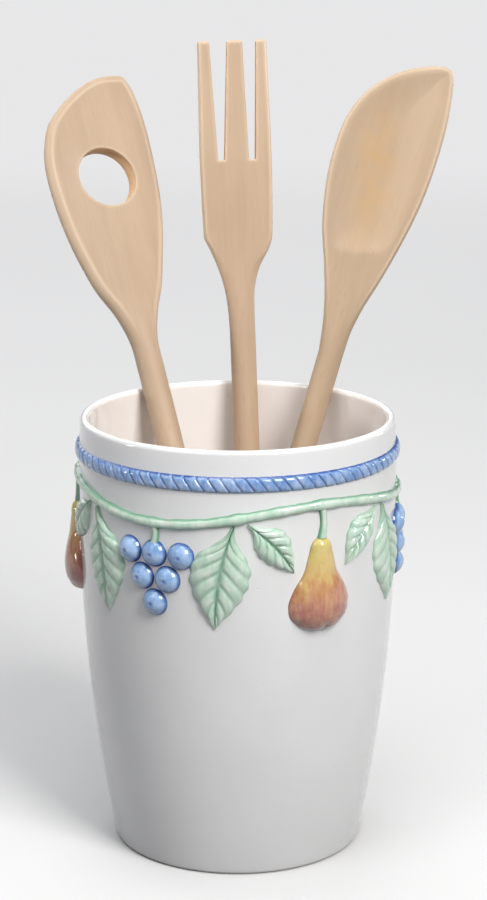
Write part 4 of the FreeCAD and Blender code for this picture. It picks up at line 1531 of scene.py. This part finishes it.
def rubbing_light_and_sawing(tool, local, cuts):
    """Pale edges, partly from sanding and partly painted highlight, side walls painted lighter as
    painted light, and sawn walls in a lighter orange that is partly painted light.
    """
    across, _, level = local.T
    head = ramp_up(level, tool["handle"] + PALE_EDGE_START, PALE_EDGE_RISE)
    apart = distance_from(head_outline(tool), across, level)
    # Painted highlight and painted light: a pale line along the edge, and lighter side walls.
    wear_and_painted_light = head * np.maximum(edge_line(apart, tool["round"]), SIDE_PAINTED_LIGHT * (apart < tool["round"]))
    sawn = np.zeros(len(local))
    for outline in cuts:
        apart = distance_from(outline, across, level)
        # The pale line round the openings is partly sanding and partly painted highlight.
        wear_and_painted_light = np.maximum(wear_and_painted_light, RIM_PALE_LINE_AND_HIGHLIGHT * edge_line(apart, RIM_FLARE / 2))
        wall = apart < WALL_REACH
        wear_and_painted_light[wall] = 0
        # The sawn walls take a lighter orange, partly painted light.
        sawn[wall] = SAWN_SHARE
    return wear_and_painted_light, sawn


print("an edge is pale over", 2 * PALE_LINE_REACH, "m")

# %% Standing a tool in the crock
FIT_GAP = 0.0003
SHARP_ANGLE = math.radians(38)


def stand_tool(name, mesh, finish, slot, cuts=(), marks=None):
    """Store the grain's coordinates, the pale edges with their painted highlight, the sawn walls
    and the stain, then move the mesh to its place."""
    tool = TOOLS[name]
    local = np.zeros(len(mesh.vertices) * 3, np.float32)
    mesh.vertices.foreach_get("co", local)
    grain = mesh.attributes.new("grain", "FLOAT_VECTOR", "POINT")
    grain.data.foreach_set("vector", local)
    local = local.reshape(-1, 3).astype(float)
    wear_and_painted_light, sawn = rubbing_light_and_sawing(tool, local, cuts)
    stain = np.zeros(len(local)) if marks is None else marks(local)
    store_numbers(mesh, {"wear_and_painted_light": wear_and_painted_light, "sawn": sawn, "stain": stain})
    joint = next(item for item in frame["joints"] if item["child"] == name)
    axis = Vector(joint["axis"]).normalized()
    upright = Vector((0, 0, 1))
    turn = upright.rotation_difference(axis) @ Quaternion(upright, math.radians(tool["roll"]))
    foot = Vector((*tool["foot"], FLOOR + FIT_GAP + tool["radius"]))
    mesh.transform(Matrix.Translation(foot - axis * tool["radius"]) @ turn.to_matrix().to_4x4())
    mesh.shade_smooth()
    mesh.set_sharp_from_angle(angle=SHARP_ANGLE)
    return place_piece(f"{name}.wood", mesh, finish, slot, name, name)


print("sharp edges start at", round(math.degrees(SHARP_ANGLE)), "degrees")

# %% [markdown]
# ### The spatula
# The blade is flat, with a round hole that lets the food through, and its outline runs up to a
# pointed corner. The table gave the outline, so only the hole is left to cut.

# %% Spatula
HOLE_RADIUS = 0.0131
HOLE_LEVEL = 0.2892
HOLE_OFFSET = 0.00025
HOLE_STEPS = 96


def hole_outline():
    """Pairs of across and level round the hole."""
    turns = np.linspace(0, 2 * math.pi, HOLE_STEPS, endpoint=False)
    across = HOLE_OFFSET + HOLE_RADIUS * np.cos(turns)
    return np.stack([across, HOLE_LEVEL + HOLE_RADIUS * np.sin(turns)], axis=1)


HOLE = hole_outline()
spatula = stand_tool("spatula", cut_head("spatula", [HOLE]), SPATULA_WOOD, "spatula_wood", [HOLE])
print("spatula faces:", len(spatula.data.polygons))

# %% [markdown]
# ### The fork
# Two slots leave three tines. Each slot tapers towards its bottom, leans a little and opens
# with rounded corners at the tip. A straight box would show as machine work, so the cutter's
# outline is drawn with these small turns.

# %% Fork
SLOT_LENGTH = 0.0492
SLOT_BASE = 0.0029
LEFT_MOUTH = 0.0076
RIGHT_MOUTH = 0.0059
SLOT_OFFSET = 0.0065
SLOT_LEAN = 0.00035
SLOT_CORNER = 0.0006
MOUTH_ROUND = 0.0010
# Shares down a slot: one past the tip, a few round the mouth, and the rest below it.
SLOT_SHARES = np.concatenate([
    [-0.08], np.linspace(0, MOUTH_ROUND / SLOT_LENGTH, 5), np.linspace(0.04, 1, 60)])
CORNER_TURNS = ((-1, np.linspace(1.0, 1.5, 5)), (1, np.linspace(1.5, 2.0, 5)))


def slot_side(middle, mouth, side, shares):
    """Points down one side of a slot. Share 0 is at the tip and 1 at the bottom."""
    at_tip = middle + SLOT_LEAN + side * mouth / 2
    at_base = middle + side * SLOT_BASE / 2
    points = []
    for share in shares:
        eased = max(0.0, 1 - SLOT_LENGTH * share / MOUTH_ROUND) ** 2
        across = at_tip + (at_base - at_tip) * share + side * MOUTH_ROUND * min(eased, 1.0)
        points.append((across, TOOLS["fork"]["length"] - SLOT_LENGTH * share))
    return points


def slot_outline(middle, mouth):
    """A tapering slot that leans to the right, with a round bottom, open past the tip."""
    base = TOOLS["fork"]["length"] - SLOT_LENGTH
    outline = slot_side(middle, mouth, -1, SLOT_SHARES)
    for side, turns in CORNER_TURNS:
        corner = middle + side * (SLOT_BASE / 2 - SLOT_CORNER)
        for angle in turns[1:-1] * math.pi:
            across = corner + SLOT_CORNER * math.cos(angle)
            outline.append((across, base + SLOT_CORNER * math.sin(angle)))
    return np.array(outline + slot_side(middle, mouth, 1, SLOT_SHARES[::-1]))


SLOTS = [slot_outline(-SLOT_OFFSET, LEFT_MOUTH), slot_outline(SLOT_OFFSET, RIGHT_MOUTH)]
fork = stand_tool("fork", cut_head("fork", SLOTS), FORK_WOOD, "fork_wood", SLOTS)
print("fork faces:", len(fork.data.polygons))

# %% [markdown]
# ### The spoon's bowl
# The bowl is scooped from the front face. Its rim runs beside the edge of the head, and its
# lower end is nearly straight. The loft's points already lie close together there, so they are
# pushed back by a depth that grows with the distance from the rim. No Boolean is needed, and
# the rim is eased as sanding does.

# %% Bowl of the spoon
BOWL_RIM = 0.0030
BOWL_DEPTH = 0.0031
BOWL_REACH = 0.0160
BOWL_END = 0.2393
BOWL_END_LEAN = 0.26
BOWL_END_MARGIN = 0.012
BOWL_CORNER = 0.0045
BOWL_EASE = 0.0007
# Above a level the bowl gets shallower, down to a share of its depth at the tip.
BOWL_SHALLOW = 0.27
BOWL_TIP_LOSS = 0.55


def bowl_depth(across, level):
    """How deep the bowl is below the front face."""
    rim = distance_from(head_outline(TOOLS["spoon"]), across, level) - BOWL_RIM
    end = level - BOWL_END - BOWL_END_LEAN * across
    inside = (rim + end - np.sqrt((rim - end) ** 2 + BOWL_CORNER ** 2)) / 2
    inside = (inside + np.sqrt(inside ** 2 + BOWL_EASE ** 2)) / 2
    share = np.clip(inside / BOWL_REACH, 0, 1)
    towards_tip = ramp_up(level, BOWL_SHALLOW, TOOLS["spoon"]["length"] - BOWL_SHALLOW)
    depth = BOWL_DEPTH * (1 - BOWL_TIP_LOSS * towards_tip) * share * (2 - share)
    return np.where(level > BOWL_END - BOWL_END_MARGIN, depth, 0)


def spoon_mesh():
    """Corner spoon: the loft with its front face pushed back into the bowl."""
    rings = tool_points(TOOLS["spoon"])
    face = rings[:, 1:FACE_STEPS]
    depth = bowl_depth(face[..., 0].ravel(), face[..., 2].ravel())
    face[..., 1] += depth.reshape(face.shape[:2])
    return tool_blank("spoon", rings)


print("bowl depth at most:", BOWL_DEPTH, "m")

# %% Spoon
STAIN_MIDDLE = (-0.0045, 0.274)
STAIN_REACH = (0.0082, 0.024)
STAIN_LEAN = -0.16
STAIN_SHARE = 0.60
# Only the front is stained, which is where a point lies less far back than this.
STAIN_BACK = 0.0015


def bowl_stain(local):
    """How stained each point is: a long soft patch in the middle of the bowl."""
    across, through, level = local.T
    rise = level - STAIN_MIDDLE[1]
    side = across - STAIN_MIDDLE[0] - STAIN_LEAN * rise
    patch = np.exp(-(side / STAIN_REACH[0]) ** 2 - (rise / STAIN_REACH[1]) ** 2)
    return STAIN_SHARE * patch * (through < STAIN_BACK)


spoon = stand_tool("spoon", spoon_mesh(), SPOON_WOOD, "spoon_wood", marks=bowl_stain)
print("spoon faces:", len(spoon.data.polygons))

# %% [markdown]
# ## Floor
# The stage is a plain pale floor that reaches past the frame. A white floor that is lit as the
# object is would throw much light up at it, so the paper is pale only where it is seen, and
# far from the crock it fades to an even backdrop.

# %% Floor
FLOOR_PALE = (0.76, 0.76, 0.765, 1)
FLOOR_CLOUD = (0.72, 0.72, 0.725, 1)
FLOOR_BOUNCE = (0.13, 0.13, 0.14, 1)
FLOOR_ROUGHNESS = 0.85
FLOOR_MOTTLE_SCALE = 3.0
BACKDROP_PALE = (0.80, 0.80, 0.81, 1)
BACKDROP_REACH = (0.25, 2.2)
FLOOR_REACH = 14.0


def floor_finish():
    """Pale matt paper with a faint mottle. It looks pale to the camera and in reflections, but
    throws little light back up, and far from the crock it fades to an even pale backdrop."""
    finish, tree, shader = new_finish("pale_floor")
    rays = node(tree, "ShaderNodeLightPath").outputs
    seen = calculate(tree, "MAXIMUM", rays["Is Camera Ray"], rays["Is Glossy Ray"])
    seen = calculate(tree, "MAXIMUM", seen, rays["Is Transmission Ray"])
    where = object_place(tree)
    cloud = noise(tree, where, FLOOR_MOTTLE_SCALE, 4.0)
    pale = mix(tree, cloud, FLOOR_PALE, FLOOR_CLOUD)
    link(tree, mix(tree, seen, FLOOR_BOUNCE, pale), shader.inputs["Base Color"])
    shader.inputs["Roughness"].default_value = FLOOR_ROUGHNESS
    away = node(tree, "ShaderNodeVectorMath", {"Vector": where}, operation="LENGTH")
    far = times(tree, step_up(tree, away.outputs["Value"], *BACKDROP_REACH), seen)
    glow = node(tree, "ShaderNodeEmission", {"Color": BACKDROP_PALE, "Strength": 1.0})
    both = node(tree, "ShaderNodeMixShader", {"Fac": far})
    tree.links.new(shader.outputs["BSDF"], both.inputs[1])
    tree.links.new(glow.outputs["Emission"], both.inputs[2])
    tree.links.new(both.outputs["Shader"], tree.nodes["Material Output"].inputs["Surface"])
    return finish


corners = [(-FLOOR_REACH, -FLOOR_REACH, 0), (FLOOR_REACH, -FLOOR_REACH, 0),
           (FLOOR_REACH, FLOOR_REACH, 0), (-FLOOR_REACH, FLOOR_REACH, 0)]
floor = bpy.data.objects.new("floor", make_mesh("floor", corners, [(0, 1, 2, 3)]))
floor.data.materials.append(floor_finish())
scene.collection.objects.link(floor)
print("floor reaches", FLOOR_REACH, "m")

# %% [markdown]
# ## Light
# A large soft key from the right and above models the relief and throws the tools' shadows to
# the left, as in the photograph. A weak fill, a top light and a back light keep the other sides
# readable. Three narrow spots reach the tools alone: one lifts their faces, and two at the
# height of the heads, from the left and from the right, make the rounded edges shine. The
# levels are plain, so a colour looks about as it is written.

# %% Lights
CROCK_MIDDLE = (0, 0, 0.13)
TOOL_HEADS = (0, 0.03, 0.33)
# Name, place, width and height, power and colour.
SOFT_BOXES = (
    ("key", (0.80, -1.17, 1.25), (0.7, 0.9), 29, (1.0, 0.985, 0.96)),
    ("fill", (-0.95, -0.85, 1.35), (0.8, 0.8), 3.5, (0.97, 0.985, 1.0)),
    ("top", (-0.05, -0.35, 1.8), (1.0, 1.0), 12, (1.0, 1.0, 1.0)),
    ("back", (-0.35, 1.3, 1.1), (1.8, 1.4), 12, (0.98, 0.99, 1.0)),
)
# Name, place and power.
SPOTS = (
    ("tools", (-0.95, -0.60, 0.95), 10),
    ("left edge", (-1.10, -0.15, 0.36), 38),
    ("right edge", (0.95, 0.60, 0.36), 30),
)
SPOT_COLOUR = (1.0, 0.99, 0.98)
BEAM = math.radians(16)
BEAM_BLEND = 0.8
SPOT_RADIUS = 0.12


def stand_lamp(name, kind, place, target, power, colour):
    """A lamp at a place, turned to a target."""
    lamp = bpy.data.lights.new(name, kind)
    lamp.energy = power
    lamp.color = colour
    stand = bpy.data.objects.new(name, lamp)
    stand.location = place
    stand.rotation_euler = (Vector(target) - Vector(place)).to_track_quat("-Z", "Y").to_euler()
    scene.collection.objects.link(stand)
    return lamp


for name, place, size, power, colour in SOFT_BOXES:
    lamp = stand_lamp(name, "AREA", place, CROCK_MIDDLE, power, colour)
    lamp.shape = "RECTANGLE"
    lamp.size, lamp.size_y = size
for name, place, power in SPOTS:
    lamp = stand_lamp(name, "SPOT", place, TOOL_HEADS, power, SPOT_COLOUR)
    lamp.spot_size = BEAM
    lamp.spot_blend = BEAM_BLEND
    lamp.shadow_soft_size = SPOT_RADIUS
print("lights:", len(SOFT_BOXES) + len(SPOTS))

# %% World
WORLD_COLOUR = (0.98, 0.99, 1.0, 1)
WORLD_LEVEL = 0.20
WORLD_EXTRA_IN_VIEW = 0.60
world = bpy.data.worlds.new("studio")
world.use_nodes = True
scene.world = world
backdrop = world.node_tree.nodes["Background"]
backdrop.inputs["Color"].default_value = WORLD_COLOUR
in_view = node(world.node_tree, "ShaderNodeLightPath").outputs["Is Camera Ray"]
strength = calculate(world.node_tree, "MULTIPLY_ADD", in_view, WORLD_EXTRA_IN_VIEW, WORLD_LEVEL)
link(world.node_tree, strength, backdrop.inputs["Strength"])
print("world level:", WORLD_LEVEL)

# %% [markdown]
# ## Camera
# The camera stands where the photograph was taken: straight in front, a little over the rim and
# dipped, with a long lens. A slight shift sets the crock in the frame without turning the view.

# %% Camera
LENS = 97.17
SENSOR_WIDTH = 36.0
SHIFT = 0.00656
CAMERA_PLACE = (0, -0.9525, 0.4029)
CAMERA_DIP = 0.247
camera = bpy.data.cameras.new("camera")
camera.lens = LENS
camera.sensor_width = SENSOR_WIDTH
camera.shift_x = SHIFT
holder = bpy.data.objects.new("camera", camera)
holder.location = CAMERA_PLACE
holder.rotation_euler = (math.pi / 2 - CAMERA_DIP, 0, 0)
scene.collection.objects.link(holder)
scene.camera = holder
print("lens", LENS, "mm")
